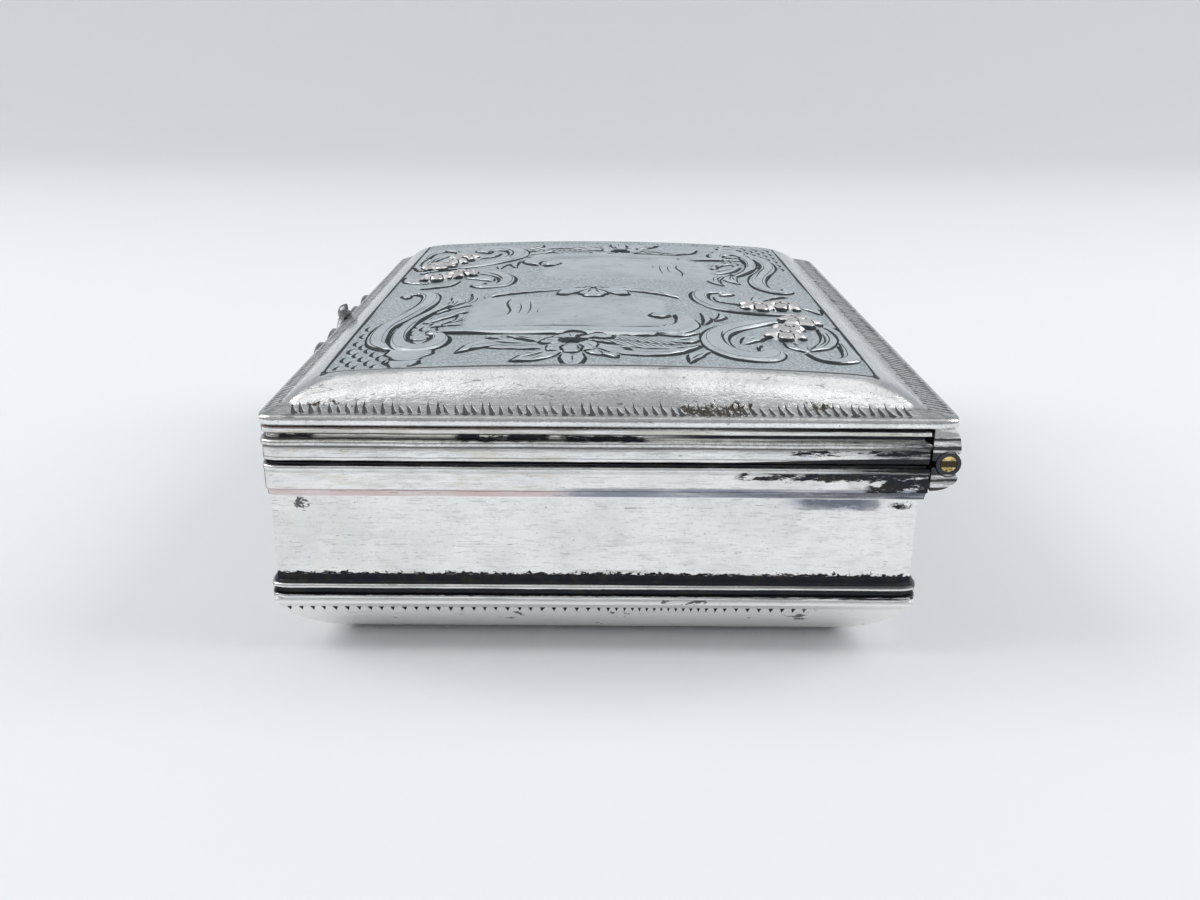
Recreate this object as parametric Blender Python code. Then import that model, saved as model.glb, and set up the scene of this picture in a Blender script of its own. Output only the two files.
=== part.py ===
"""Rectangular snuff box of sheet silver with a long hinge, modelled piece by piece as a box maker builds it.

X runs along the box, the thumbpiece side faces -Y, the hinge side faces +Y, and Z = 0 is the flat of the base.
All lengths are in metres. Names ending in share or shares are fractions of the sizes that they follow.
"""

import math

import bmesh
import bpy
from mathutils import Vector

# Overall plan, measured over the mouldings
BOX_LENGTH = 0.0740
BOX_WIDTH = 0.0532

# Fits
SOLDER_SEAM = 0.00006
LID_CLEARANCE = 0.00012
RUNNING_CLEARANCE = 0.00008
BEZEL_CLEARANCE = 0.00025

# Base plate: a shallow tray, pillowed out from its edge to a flat that stands on the table
BASE_DEPTH = 0.0050
BASE_SHOULDER = 0.0060
BASE_THICKNESS = 0.0008
BASE_EDGE_RADIUS = 0.0003
BASE_SWELL_POWER = 1.55

# Straight wall, bent up from one strip
WALL_THICKNESS = 0.0008
WALL_SETBACK = 0.0007
WALL_HEIGHT = 0.0117

# Moulding round the foot of the wall
FOOT_MOULD_HEIGHT = 0.00205
FOOT_BEAD_RADIUS = 0.00022

# Moulding round the mouth of the body
MOUTH_FOOT_STEP = 0.00008
MOUTH_COVE_HEIGHT = 0.00062
MOUTH_COVE_DEPTH = 0.00018
MOUTH_FACE_HEIGHT = 0.00156
MOUTH_FACE_RECESS = 0.00010
MOUTH_BEAD_RADIUS = 0.00022
MOUTH_REBATE_HEIGHT = 0.00020
MOUTH_REBATE_DEPTH = 0.00032

# Moulding that forms the side of the lid
LID_ARRIS_RADIUS = 0.00022
LID_FACE_HEIGHT = 0.00128
LID_FACE_RECESS = 0.00012
LID_BEAD_RADIUS = 0.00026
LID_COVE_RADIUS = 0.00030
LID_FILLET_HEIGHT = 0.00032
LID_FILLET_RECESS = 0.00015
LID_QUIRK = 0.00038

# Lid plate: a sloping flange at the edge, then pillowed shoulders round a crowned panel
LID_EDGE_RADIUS = 0.00032
LID_FLANGE_WIDTH = 0.00165
LID_FLANGE_RISE = 0.00045
LID_SHOULDER = 0.0048
LID_RISE = 0.00195
LID_CROWN_SHARE = 0.78
LID_END_FALL_SHARE = 0.35
LID_SWELL_POWER = 1.9
LID_THICKNESS = 0.0007
LID_HINGE_OVERHANG = 0.0015
LID_HINGE_FLANGE_REACH = 0.00225
PANEL_HINGE_SHIFT = 0.0008

# Upstanding bezel inside the mouth of the body, on three sides
BEZEL_THICKNESS = 0.0005
BEZEL_ROOT = 0.0050
BEZEL_RISE = 0.0015

# Hinge: knuckle tubes in a round channel, half in the body and half in the lid
HINGE_LIFT = 0.00015
HINGE_END_SETBACK = 0.0002
KNUCKLE_RADIUS = 0.0010
KNUCKLE_WALL = 0.00032
KNUCKLE_COUNT = 9
PIN_CLEARANCE = 0.00008
PLUG_CLEARANCE = 0.00004
PLUG_LENGTH = 0.0025
CHANNEL_WALL = 0.00024
BEARER_LIP_THICKNESS = 0.0003
BEARER_DROP = 0.00225
LID_BEARER_TOP_INSET = 0.0002
BODY_LIP_DEG = -54.0
BODY_SEAT_DEG = 195.0
LID_LIP_DEG = 50.0
LID_SEAT_DEG = 165.0

# Cast thumbpiece
THUMB_LENGTH = 0.0280
THUMB_THICKNESS = 0.00045
THUMB_LIFT = 0.0005
THUMB_LOWER = 0.0015
THUMB_CENTRE_RISE = 0.0022
THUMB_EDGE_ROUND = 0.00016
KNOB_RADIUS = 0.00095
KNOB_RISE = 0.00058
KNOB_BACK_STEP = 0.00005

# Resolution of the round forms
ARC_STEPS = 6
TUBE_SIDES = 20
PLATE_CELLS_LONG = 16
PLATE_CELLS_SHORT = 12
BOSS_SEGMENTS = 16
BOSS_RINGS = 10
OUTLINE_STEPS = 72

# Places worked out from the sizes above
half_length = BOX_LENGTH / 2
half_width = BOX_WIDTH / 2
wall_foot = BASE_DEPTH + SOLDER_SEAM
wall_top = wall_foot + WALL_HEIGHT
mouth_top = wall_top + SOLDER_SEAM
mouth_face_foot = mouth_top - MOUTH_REBATE_HEIGHT - 2 * MOUTH_BEAD_RADIUS - MOUTH_FACE_HEIGHT
mouth_mould_foot = mouth_face_foot - MOUTH_COVE_HEIGHT - MOUTH_FOOT_STEP
lid_foot = mouth_top + LID_CLEARANCE
lid_fillet_foot = lid_foot + LID_FACE_HEIGHT + 2 * LID_BEAD_RADIUS + 2 * LID_COVE_RADIUS
lid_mould_top = lid_fillet_foot + LID_FILLET_HEIGHT + LID_QUIRK
lid_edge_middle = lid_mould_top + SOLDER_SEAM + LID_EDGE_RADIUS
bezel_inset = WALL_SETBACK + WALL_THICKNESS + SOLDER_SEAM
lid_mould_thickness = bezel_inset - BEZEL_CLEARANCE
channel_radius = KNUCKLE_RADIUS + RUNNING_CLEARANCE
bearer_inside = -channel_radius - CHANNEL_WALL
hinge_y = half_width + SOLDER_SEAM - bearer_inside
hinge_z = (mouth_top + lid_foot) / 2 + HINGE_LIFT
hinge_half_length = half_length - HINGE_END_SETBACK
knuckle_bore = KNUCKLE_RADIUS - KNUCKLE_WALL


def clear_scene():
    for old in list(bpy.data.objects):
        bpy.data.objects.remove(old, do_unlink=True)


def metal(name, colour, roughness):
    material = bpy.data.materials.new(name)
    material.use_nodes = True
    shader = material.node_tree.nodes["Principled BSDF"]
    shader.inputs["Base Color"].default_value = (*colour, 1.0)
    shader.inputs["Metallic"].default_value = 1.0
    shader.inputs["Roughness"].default_value = roughness
    material.diffuse_color = (*colour, 1.0)
    return material


def add_object(name, mesh, material, place=(0, 0, 0), turn=0.0, parent=None, smooth_deg=30.0):
    """Link a mesh as a named piece at a world place, under its parent when it has one."""
    mesh.shade_smooth()
    mesh.set_sharp_from_angle(angle=math.radians(smooth_deg))
    if not mesh.materials:
        mesh.materials.append(material)
    piece = bpy.data.objects.new(name, mesh)
    bpy.context.scene.collection.objects.link(piece)
    piece.location = Vector(place)
    piece.rotation_euler = (0, 0, turn)
    if parent is not None:
        piece.parent = parent
        piece.location = Vector(place) - parent.location
    return piece


def mesh_from(bm, name):
    """Finish a closed shape with all its faces pointing out."""
    bmesh.ops.recalc_face_normals(bm, faces=bm.faces)
    if bm.calc_volume(signed=True) < 0:
        bmesh.ops.reverse_faces(bm, faces=bm.faces)
    mesh = bpy.data.meshes.new(name)
    bm.to_mesh(mesh)
    bm.free()
    return mesh


def arc(centre, radius, start_deg, end_deg, steps=ARC_STEPS):
    """Points of a round stretch of a profile, both ends included."""
    points = []
    for i in range(steps + 1):
        angle = math.radians(start_deg + (end_deg - start_deg) * i / steps)
        points.append((centre[0] + radius * math.cos(angle), centre[1] + radius * math.sin(angle)))
    return points


def mitred_strip(name, profile, half_side):
    """Moulding wire along X whose outer side faces -Y, cut at 45 degrees at both ends.

    A profile point is (how far it stands out from the plan line, height); out is negative inside the line.
    """
    bm = bmesh.new()
    ends = []
    for side in (-1, 1):
        ends.append([bm.verts.new((side * (half_side + out - SOLDER_SEAM), -out, up)) for out, up in profile])
    first, last = ends
    count = len(profile)
    for i in range(count):
        j = (i + 1) % count
        bm.faces.new((first[i], first[j], last[j], last[i]))
    bm.faces.new(first)
    bm.faces.new(list(reversed(last)))
    bm.normal_update()
    bmesh.ops.triangulate(bm, faces=[face for face in bm.faces if len(face.verts) > 4])
    return mesh_from(bm, name)


def moulding_frame(prefix, profile, material, parent=None):
    """Four mitred strips round the plan: the two long sides share one mesh, the two ends another."""
    long_mesh = mitred_strip(prefix + "_long", profile, half_length)
    short_mesh = mitred_strip(prefix + "_short", profile, half_width)
    add_object(prefix + "_front", long_mesh, material, (0, -half_width, 0), 0.0, parent)
    add_object(prefix + "_hinge_side", long_mesh, material, (0, half_width, 0), math.pi, parent)
    add_object(prefix + "_near_end", short_mesh, material, (half_length, 0, 0), math.pi / 2, parent)
    add_object(prefix + "_far_end", short_mesh, material, (-half_length, 0, 0), -math.pi / 2, parent)


def foot_mould_profile():
    """Two beads with a quirk between them under a cove that dies into the wall."""
    back = SOLDER_SEAM - WALL_SETBACK
    bottom = wall_foot
    top = bottom + FOOT_MOULD_HEIGHT
    lower = (-FOOT_BEAD_RADIUS, bottom + FOOT_BEAD_RADIUS)
    upper = (-FOOT_BEAD_RADIUS, bottom + FOOT_MOULD_HEIGHT / 2 + FOOT_BEAD_RADIUS / 2)
    cove_height = top - upper[1] - FOOT_BEAD_RADIUS
    cove_depth = WALL_SETBACK - SOLDER_SEAM - FOOT_BEAD_RADIUS
    points = [(back, bottom)]
    points += arc(lower, FOOT_BEAD_RADIUS, -90, 120)
    points += arc(upper, FOOT_BEAD_RADIUS, -120, 90)
    for i in range(1, ARC_STEPS + 1):
        angle = math.radians(90 * i / ARC_STEPS)
        out = -FOOT_BEAD_RADIUS - cove_depth * math.sin(angle)
        points.append((out, top - cove_height * math.cos(angle)))
    return points


def mouth_mould_profile():
    """From the wall up: a foot, a shallow cove, a broad face, a bead and the rebate that shadows the parting."""
    back = SOLDER_SEAM - WALL_SETBACK
    cove_foot = mouth_mould_foot + MOUTH_FOOT_STEP
    cove_out = -MOUTH_FACE_RECESS - MOUTH_COVE_DEPTH
    points = [(back, mouth_mould_foot), (cove_out, cove_foot)]
    for i in range(1, ARC_STEPS + 1):
        angle = math.radians(90 * i / ARC_STEPS)
        out = cove_out + MOUTH_COVE_DEPTH * (1 - math.cos(angle))
        points.append((out, cove_foot + MOUTH_COVE_HEIGHT * math.sin(angle)))
    rebate_foot = mouth_top - MOUTH_REBATE_HEIGHT
    bead = (-MOUTH_BEAD_RADIUS, rebate_foot - MOUTH_BEAD_RADIUS)
    points.append((-MOUTH_FACE_RECESS, bead[1] - MOUTH_BEAD_RADIUS))
    points += arc(bead, MOUTH_BEAD_RADIUS, -50, 90)
    points.append((-MOUTH_REBATE_DEPTH, rebate_foot))
    points.append((-MOUTH_REBATE_DEPTH, mouth_top))
    points.append((back, mouth_top))
    return points


def lid_mould_profile():
    """From the mouth up: rounded arris, broad face, bead, cove, fillet and the quirk under the lid plate."""
    back = -lid_mould_thickness
    face_out = -LID_FACE_RECESS
    face_top = lid_foot + LID_FACE_HEIGHT
    arris = (face_out - LID_ARRIS_RADIUS, lid_foot + LID_ARRIS_RADIUS)
    bead = (-LID_BEAD_RADIUS, face_top + LID_BEAD_RADIUS)
    cove = (-LID_BEAD_RADIUS, bead[1] + LID_BEAD_RADIUS + LID_COVE_RADIUS)
    fillet_out = -LID_FILLET_RECESS
    fillet_top = lid_fillet_foot + LID_FILLET_HEIGHT
    points = [(back, lid_foot)]
    points += arc(arris, LID_ARRIS_RADIUS, -90, 0, 3)
    points.append((face_out, face_top - LID_FACE_RECESS))
    points += arc(bead, LID_BEAD_RADIUS, -70, 70)
    points += arc(cove, LID_COVE_RADIUS, -120, -240, 5)
    points.append((fillet_out, lid_fillet_foot))
    points.append((fillet_out, fillet_top))
    points.append((-LID_QUIRK, fillet_top + LID_FILLET_RECESS))
    points.append((-LID_QUIRK, lid_mould_top))
    points.append((back, lid_mould_top))
    return points


def plate_ring(bm, cells, inset, rise, hinge_shift=0.0):
    """One rectangular ring of a plate, inset from the plan line, at the height that rise gives for each point."""
    reach_x = half_length - inset
    front = inset - half_width
    back = half_width - inset + hinge_shift
    corners = [(-reach_x, front), (reach_x, front), (reach_x, back), (-reach_x, back)]
    ring = []
    for k, (x, y) in enumerate(corners):
        to_x, to_y = corners[(k + 1) % 4]
        count = cells[k % 2]
        for i in range(count):
            at_x = x + (to_x - x) * i / count
            at_y = y + (to_y - y) * i / count
            ring.append(bm.verts.new((at_x, at_y, rise(at_x, at_y))))
    return ring


def bridge_rings(bm, outer, inner):
    count = len(outer)
    for i in range(count):
        j = (i + 1) % count
        bm.faces.new((outer[i], outer[j], inner[j], inner[i]))


def fill_ring(bm, ring, cells, rise):
    """Close a ring with a grid of cells whose edge points are the ring's own."""
    long_cells, short_cells = cells
    rows = [ring[: long_cells + 1]]
    front, back = ring[0].co.y, ring[long_cells + short_cells].co.y
    for r in range(1, short_cells):
        left = ring[-r]
        right = ring[long_cells + r]
        y = front + (back - front) * r / short_cells
        row = [left]
        for c in range(1, long_cells):
            x = left.co.x + (right.co.x - left.co.x) * c / long_cells
            row.append(bm.verts.new((x, y, rise(x, y))))
        row.append(right)
        rows.append(row)
    top_start = long_cells + short_cells
    rows.append(list(reversed(ring[top_start : top_start + long_cells + 1])))
    for low, high in zip(rows, rows[1:]):
        for c in range(long_cells):
            bm.faces.new((low[c], low[c + 1], high[c + 1], high[c]))


def plate_mesh(name, cells, rings, rise_first, rise_last):
    """A closed sheet from its ring list; the first ring and the last are filled across the middle."""
    bm = bmesh.new()
    made = [plate_ring(bm, cells, *ring) for ring in rings]
    for outer, inner in zip(made, made[1:]):
        bridge_rings(bm, outer, inner)
    fill_ring(bm, made[0], cells, rise_first)
    fill_ring(bm, made[-1], cells, rise_last)
    return mesh_from(bm, name)


def swell(share, power):
    """Height share of a pillowed shoulder, steep at the edge and level where it meets the panel."""
    return 1 - (1 - share) ** power


def lid_plate_mesh():
    pillow_shares = (1.0, 0.84, 0.68, 0.53, 0.39, 0.26, 0.14, 0.06, 0.0)
    under_shares = (0.0, 0.12, 0.25, 0.40, 0.56, 0.76, 1.0)
    edge_top = lid_edge_middle + LID_EDGE_RADIUS
    edge_bottom = lid_edge_middle - LID_EDGE_RADIUS
    pillow_run = LID_SHOULDER - LID_FLANGE_WIDTH

    def crown(x, y):
        across = 1 - (y / half_width) ** 2 * swell_limit
        along = 1 - LID_END_FALL_SHARE * (x / half_length) ** 2
        return 1 + LID_CROWN_SHARE * max(across, 0) * along

    def pillow(share, drop):
        def rise(x, y):
            full = LID_RISE * crown(x, y) - LID_FLANGE_RISE
            return edge_top + LID_FLANGE_RISE + full * swell(share, LID_SWELL_POWER) - drop

        return rise

    def shift(inset):
        return LID_HINGE_OVERHANG + (PANEL_HINGE_SHIFT - LID_HINGE_OVERHANG) * inset / LID_SHOULDER

    swell_limit = (half_width / (half_width + PANEL_HINGE_SHIFT)) ** 2
    rings = []
    for share in pillow_shares:
        inset = LID_FLANGE_WIDTH + pillow_run * share
        rings.append((inset, pillow(share, 0.0), shift(inset)))
    for out, up in arc((LID_EDGE_RADIUS, lid_edge_middle), LID_EDGE_RADIUS, 90, 270):
        rings.append((out, lambda x, y, level=up: level, LID_HINGE_FLANGE_REACH))
    seat = lid_mould_thickness + LID_EDGE_RADIUS / 2
    rings.append((seat, lambda x, y: edge_bottom, LID_EDGE_RADIUS))
    for share in under_shares:
        inset = LID_FLANGE_WIDTH + pillow_run * share + LID_THICKNESS * (1 - share)
        start = LID_EDGE_RADIUS
        rings.append((inset, pillow(share, LID_THICKNESS), start + (PANEL_HINGE_SHIFT - start) * share))
    cells = (PLATE_CELLS_LONG, PLATE_CELLS_SHORT)
    return plate_mesh("lid_plate", cells, rings, pillow(1.0, 0.0), pillow(1.0, LID_THICKNESS))


def base_plate_mesh():
    shares = (0.0, 0.07, 0.15, 0.25, 0.37, 0.50, 0.64, 0.80, 1.0)
    inside_shares = (0.27, 0.37, 0.50, 0.64, 0.80, 1.0)
    edge_middle = BASE_DEPTH - BASE_EDGE_RADIUS
    depth = BASE_DEPTH - 2 * BASE_EDGE_RADIUS
    run = BASE_SHOULDER - BASE_EDGE_RADIUS

    def level(height):
        return lambda x, y: height

    def under(share):
        return depth * (1 - swell(share, BASE_SWELL_POWER))

    rings = []
    for share in reversed(shares):
        rings.append((BASE_EDGE_RADIUS + run * share, level(under(share))))
    for out, up in arc((BASE_EDGE_RADIUS, edge_middle), BASE_EDGE_RADIUS, 270, 90)[1:]:
        rings.append((out, level(up)))
    rings.append((bezel_inset, level(BASE_DEPTH)))
    for share in inside_shares:
        inset = BASE_EDGE_RADIUS + run * share + BASE_THICKNESS * (1 - share) / 2
        rings.append((inset, level(under(share) + BASE_THICKNESS)))
    return plate_mesh("base_plate", (1, 1), rings, level(0.0), level(BASE_THICKNESS))


def wall_mesh():
    """The wall strip bent into a rectangle, open above and below."""
    bm = bmesh.new()
    rings = []
    for inset, height in (
        (WALL_SETBACK, wall_foot),
        (WALL_SETBACK, wall_top),
        (WALL_SETBACK + WALL_THICKNESS, wall_top),
        (WALL_SETBACK + WALL_THICKNESS, wall_foot),
    ):
        rings.append(plate_ring(bm, (1, 1), inset, lambda x, y, level=height: level))
    for k, ring in enumerate(rings):
        bridge_rings(bm, ring, rings[(k + 1) % 4])
    return mesh_from(bm, "body_wall")


def bezel_mesh():
    """A strip bent round the front and the two ends, standing up inside the lid."""
    outside = bezel_inset
    inside = outside + BEZEL_THICKNESS
    back = half_width - inside
    root = wall_top - BEZEL_ROOT
    crest = mouth_top + BEZEL_RISE
    plan = [
        (outside - half_length, back),
        (outside - half_length, outside - half_width),
        (half_length - outside, outside - half_width),
        (half_length - outside, back),
        (half_length - inside, back),
        (half_length - inside, inside - half_width),
        (inside - half_length, inside - half_width),
        (inside - half_length, back),
    ]
    bm = bmesh.new()
    lower = [bm.verts.new((x, y, root)) for x, y in plan]
    upper = [bm.verts.new((x, y, crest)) for x, y in plan]
    count = len(plan)
    for i in range(count):
        j = (i + 1) % count
        bm.faces.new((lower[i], lower[j], upper[j], upper[i]))
    for i in range(3):
        bm.faces.new((upper[i], upper[i + 1], upper[6 - i], upper[7 - i]))
        bm.faces.new((lower[i + 1], lower[i], lower[7 - i], lower[6 - i]))
    return mesh_from(bm, "inner_bezel")


def channel_strip(name, section):
    """A bearer drawn along the hinge: its section is given about the hinge axis, as (y, z)."""
    bm = bmesh.new()
    near = [bm.verts.new((hinge_half_length, y, z)) for y, z in section]
    face = bm.faces.new(near)
    made = bmesh.ops.extrude_face_region(bm, geom=[face])
    moved = [item for item in made["geom"] if isinstance(item, bmesh.types.BMVert)]
    bmesh.ops.translate(bm, verts=moved, vec=(-2 * hinge_half_length, 0, 0))
    bm.normal_update()
    bmesh.ops.triangulate(bm, faces=[item for item in bm.faces if len(item.verts) > 4])
    return mesh_from(bm, name)


def body_bearer_section():
    points = arc((0, 0), channel_radius, BODY_SEAT_DEG, 360 + BODY_LIP_DEG, 2 * ARC_STEPS)
    lip = math.radians(BODY_LIP_DEG)
    lip_out = channel_radius + BEARER_LIP_THICKNESS
    lip_point = (lip_out * math.cos(lip), lip_out * math.sin(lip))
    for i in range(ARC_STEPS + 1):
        angle = math.radians(90 * i / ARC_STEPS)
        y = bearer_inside + (lip_point[0] - bearer_inside) * math.cos(angle)
        points.append((y, lip_point[1] - (lip_point[1] + BEARER_DROP) * math.sin(angle)))
    points.append((bearer_inside, points[0][1]))
    return points


def lid_bearer_section():
    lip = math.radians(LID_LIP_DEG)
    lip_out = channel_radius + BEARER_LIP_THICKNESS
    top = lid_mould_top - hinge_z
    top_out = half_width + LID_HINGE_OVERHANG - LID_BEARER_TOP_INSET - hinge_y
    points = arc((0, 0), channel_radius, LID_LIP_DEG, LID_SEAT_DEG, 2 * ARC_STEPS)
    points.append((bearer_inside, points[-1][1]))
    points.append((bearer_inside, top))
    lip_point = (lip_out * math.cos(lip), lip_out * math.sin(lip))
    for i in range(ARC_STEPS + 1):
        angle = math.radians(90 * i / ARC_STEPS)
        y = top_out + (lip_point[0] - top_out) * math.sin(angle)
        points.append((y, lip_point[1] + (top - lip_point[1]) * math.cos(angle)))
    return points


def tube_mesh(name, outer, bore, length):
    """A tube along X about its own centre; bore 0 makes a rod."""
    bm = bmesh.new()
    rings = []
    for radius, x in ((outer, -length / 2), (outer, length / 2), (bore, length / 2), (bore, -length / 2)):
        if radius:
            ring = []
            for i in range(TUBE_SIDES):
                angle = 2 * math.pi * i / TUBE_SIDES
                ring.append(bm.verts.new((x, radius * math.cos(angle), radius * math.sin(angle))))
            rings.append(ring)
    for ring, following in zip(rings, rings[1:]):
        bridge_rings(bm, ring, following)
    if bore:
        bridge_rings(bm, rings[-1], rings[0])
    else:
        bm.faces.new(rings[0])
        bm.faces.new(rings[1])
    return mesh_from(bm, name)


def build_hinge(silver, steel, brass, lid_axis):
    add_object("body_hinge_bearer", channel_strip("body_hinge_bearer", body_bearer_section()), silver,
               (0, hinge_y, hinge_z))
    add_object("lid_hinge_bearer", channel_strip("lid_hinge_bearer", lid_bearer_section()), silver,
               (0, hinge_y, hinge_z), parent=lid_axis)
    pitch = 2 * hinge_half_length / KNUCKLE_COUNT
    knuckle = tube_mesh("knuckle", KNUCKLE_RADIUS, knuckle_bore, pitch - RUNNING_CLEARANCE)
    for i in range(KNUCKLE_COUNT):
        place = (pitch * (i + 0.5) - hinge_half_length, hinge_y, hinge_z)
        on_lid = i % 2 == 1
        name = ("lid_knuckle_" if on_lid else "body_knuckle_") + str(i // 2 + 1)
        add_object(name, knuckle, silver, place, parent=lid_axis if on_lid else None)
    end = hinge_half_length - RUNNING_CLEARANCE / 2
    pin_length = 2 * (end - PLUG_LENGTH - RUNNING_CLEARANCE)
    pin = tube_mesh("hinge_pin", knuckle_bore - PIN_CLEARANCE, 0, pin_length)
    add_object("hinge_pin", pin, steel, (0, hinge_y, hinge_z))
    plug = tube_mesh("pin_plug", knuckle_bore - PLUG_CLEARANCE, 0, PLUG_LENGTH)
    for name, side in (("pin_plug_near_end", 1), ("pin_plug_far_end", -1)):
        add_object(name, plug, brass, (side * (end - PLUG_LENGTH / 2), hinge_y, hinge_z))


def lobed_height(x, lobes, full, half_span):
    """Highest of a row of half-round lobes at x; each lobe is centre, half width and height as shares."""
    best = 0.0
    for centre_share, width_share, height_share in lobes:
        away = (abs(x) - centre_share * half_span) / (width_share * half_span)
        if abs(away) < 1:
            best = max(best, height_share * full * math.sqrt(1 - away * away))
    return best


def thumbpiece_mesh():
    """Scrolled outline with its front edge rounded, before the bosses are joined to it."""
    upper_shares = ((0.0, 0.22, 1.0), (0.40, 0.19, 0.66), (0.62, 0.16, 0.45), (0.84, 0.16, 0.68))
    lower_shares = ((0.0, 0.30, 1.0), (0.42, 0.22, 0.80), (0.64, 0.14, 0.60), (0.84, 0.16, 0.95))
    tip_share = 1.5
    half_span = THUMB_LENGTH / 2
    least = THUMB_EDGE_ROUND * tip_share
    upper, lower = [], []
    for i in range(OUTLINE_STEPS + 1):
        x = half_span * (2 * i / OUTLINE_STEPS - 1)
        rise = lobed_height(x, upper_shares, THUMB_CENTRE_RISE, half_span)
        fall = lobed_height(x, lower_shares, THUMB_LOWER, half_span)
        upper.append((x, max(rise, least)))
        lower.append((x, -max(fall, least)))
    bm = bmesh.new()
    outline = [bm.verts.new((x, 0, z)) for x, z in upper + list(reversed(lower))]
    back = bm.faces.new(outline)
    made = bmesh.ops.extrude_face_region(bm, geom=[back])
    moved = [item for item in made["geom"] if isinstance(item, bmesh.types.BMVert)]
    bmesh.ops.translate(bm, verts=moved, vec=(0, -THUMB_THICKNESS, 0))
    front = [item for item in made["geom"] if isinstance(item, bmesh.types.BMFace)]
    bmesh.ops.recalc_face_normals(bm, faces=bm.faces)
    bmesh.ops.inset_region(bm, faces=front, thickness=THUMB_EDGE_ROUND, depth=THUMB_EDGE_ROUND)
    bmesh.ops.triangulate(bm, faces=[item for item in bm.faces if len(item.verts) > 4])
    return mesh_from(bm, "thumbpiece")


def build_thumbpiece(silver, lid_axis):
    """The cast scroll stands on the front of the lid moulding; its flat-backed knob rises past the lid's edge."""
    half_span = THUMB_LENGTH / 2
    middle = (lid_foot + lid_mould_top) / 2 + THUMB_LIFT
    place = (0, -half_width - SOLDER_SEAM, middle)
    thumb = add_object("thumbpiece", thumbpiece_mesh(), silver, place, parent=lid_axis)
    # each boss: centre along the piece, height, half length, half height and half depth
    fan_shares = (0.0, 0.10, 0.18, 0.72, 0.95)
    side_shares = ((0.40, 0.05, 0.14, 0.48, 0.9), (0.62, -0.05, 0.10, 0.36, 0.7), (0.84, 0.03, 0.11, 0.52, 0.95))
    shapes = [(0.0, fan_shares)]
    for shares in side_shares:
        shapes += [(-1.0, shares), (1.0, shares)]
    bm = bmesh.new()
    knob_height = lid_edge_middle + KNOB_RISE - middle
    add_ellipsoid(bm, Vector((0, -KNOB_BACK_STEP, knob_height)), Vector((KNOB_RADIUS, KNOB_RADIUS, KNOB_RADIUS)))
    for vert in bm.verts:
        vert.co.y = min(vert.co.y, -KNOB_BACK_STEP)
    for side, (along, up, long_share, high_share, deep_share) in shapes:
        centre = Vector((side * along * half_span, -THUMB_THICKNESS, up * THUMB_CENTRE_RISE))
        size = Vector((long_share * half_span, deep_share * THUMB_THICKNESS, high_share * THUMB_CENTRE_RISE))
        add_ellipsoid(bm, centre, size)
    guide = add_object("thumb_boss_guide", mesh_from(bm, "thumb_boss_guide"), silver, place, parent=lid_axis)
    guide.hide_render = True
    guide.display_type = "WIRE"
    union = thumb.modifiers.new("bosses", "BOOLEAN")
    union.operation = "UNION"
    union.solver = "EXACT"
    union.use_self = True
    union.object = guide


def add_ellipsoid(bm, centre, size):
    made = bmesh.ops.create_uvsphere(bm, u_segments=BOSS_SEGMENTS, v_segments=BOSS_RINGS, radius=1.0)
    bmesh.ops.scale(bm, verts=made["verts"], vec=size)
    bmesh.ops.translate(bm, verts=made["verts"], vec=centre)


def build_body(silver):
    add_object("base_plate", base_plate_mesh(), silver)
    add_object("body_wall", wall_mesh(), silver)
    add_object("inner_bezel", bezel_mesh(), silver)
    moulding_frame("foot_moulding", foot_mould_profile(), silver)
    moulding_frame("mouth_moulding", mouth_mould_profile(), silver)


def build_lid(plain, chased, lid_axis):
    add_object("lid_plate", lid_plate_mesh(), chased, parent=lid_axis)
    moulding_frame("lid_moulding", lid_mould_profile(), plain, lid_axis)


def main():
    clear_scene()
    plain_silver = metal("plain_silver", (0.86, 0.86, 0.84), 0.22)
    chased_silver = metal("chased_silver", (0.72, 0.75, 0.75), 0.34)
    steel = metal("pin_steel", (0.40, 0.39, 0.38), 0.35)
    brass = metal("plug_brass", (0.78, 0.62, 0.26), 0.30)
    lid_axis = bpy.data.objects.new("lid_hinge_axis", None)
    lid_axis.location = (0, hinge_y, hinge_z)
    bpy.context.scene.collection.objects.link(lid_axis)
    build_body(plain_silver)
    build_lid(plain_silver, chased_silver, lid_axis)
    build_hinge(plain_silver, steel, brass, lid_axis)
    build_thumbpiece(plain_silver, lid_axis)


main()
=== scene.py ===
import math

import bpy
import bmesh
import numpy as np
from mathutils import Matrix, Vector
from mathutils.geometry import delaunay_2d_cdt


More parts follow.
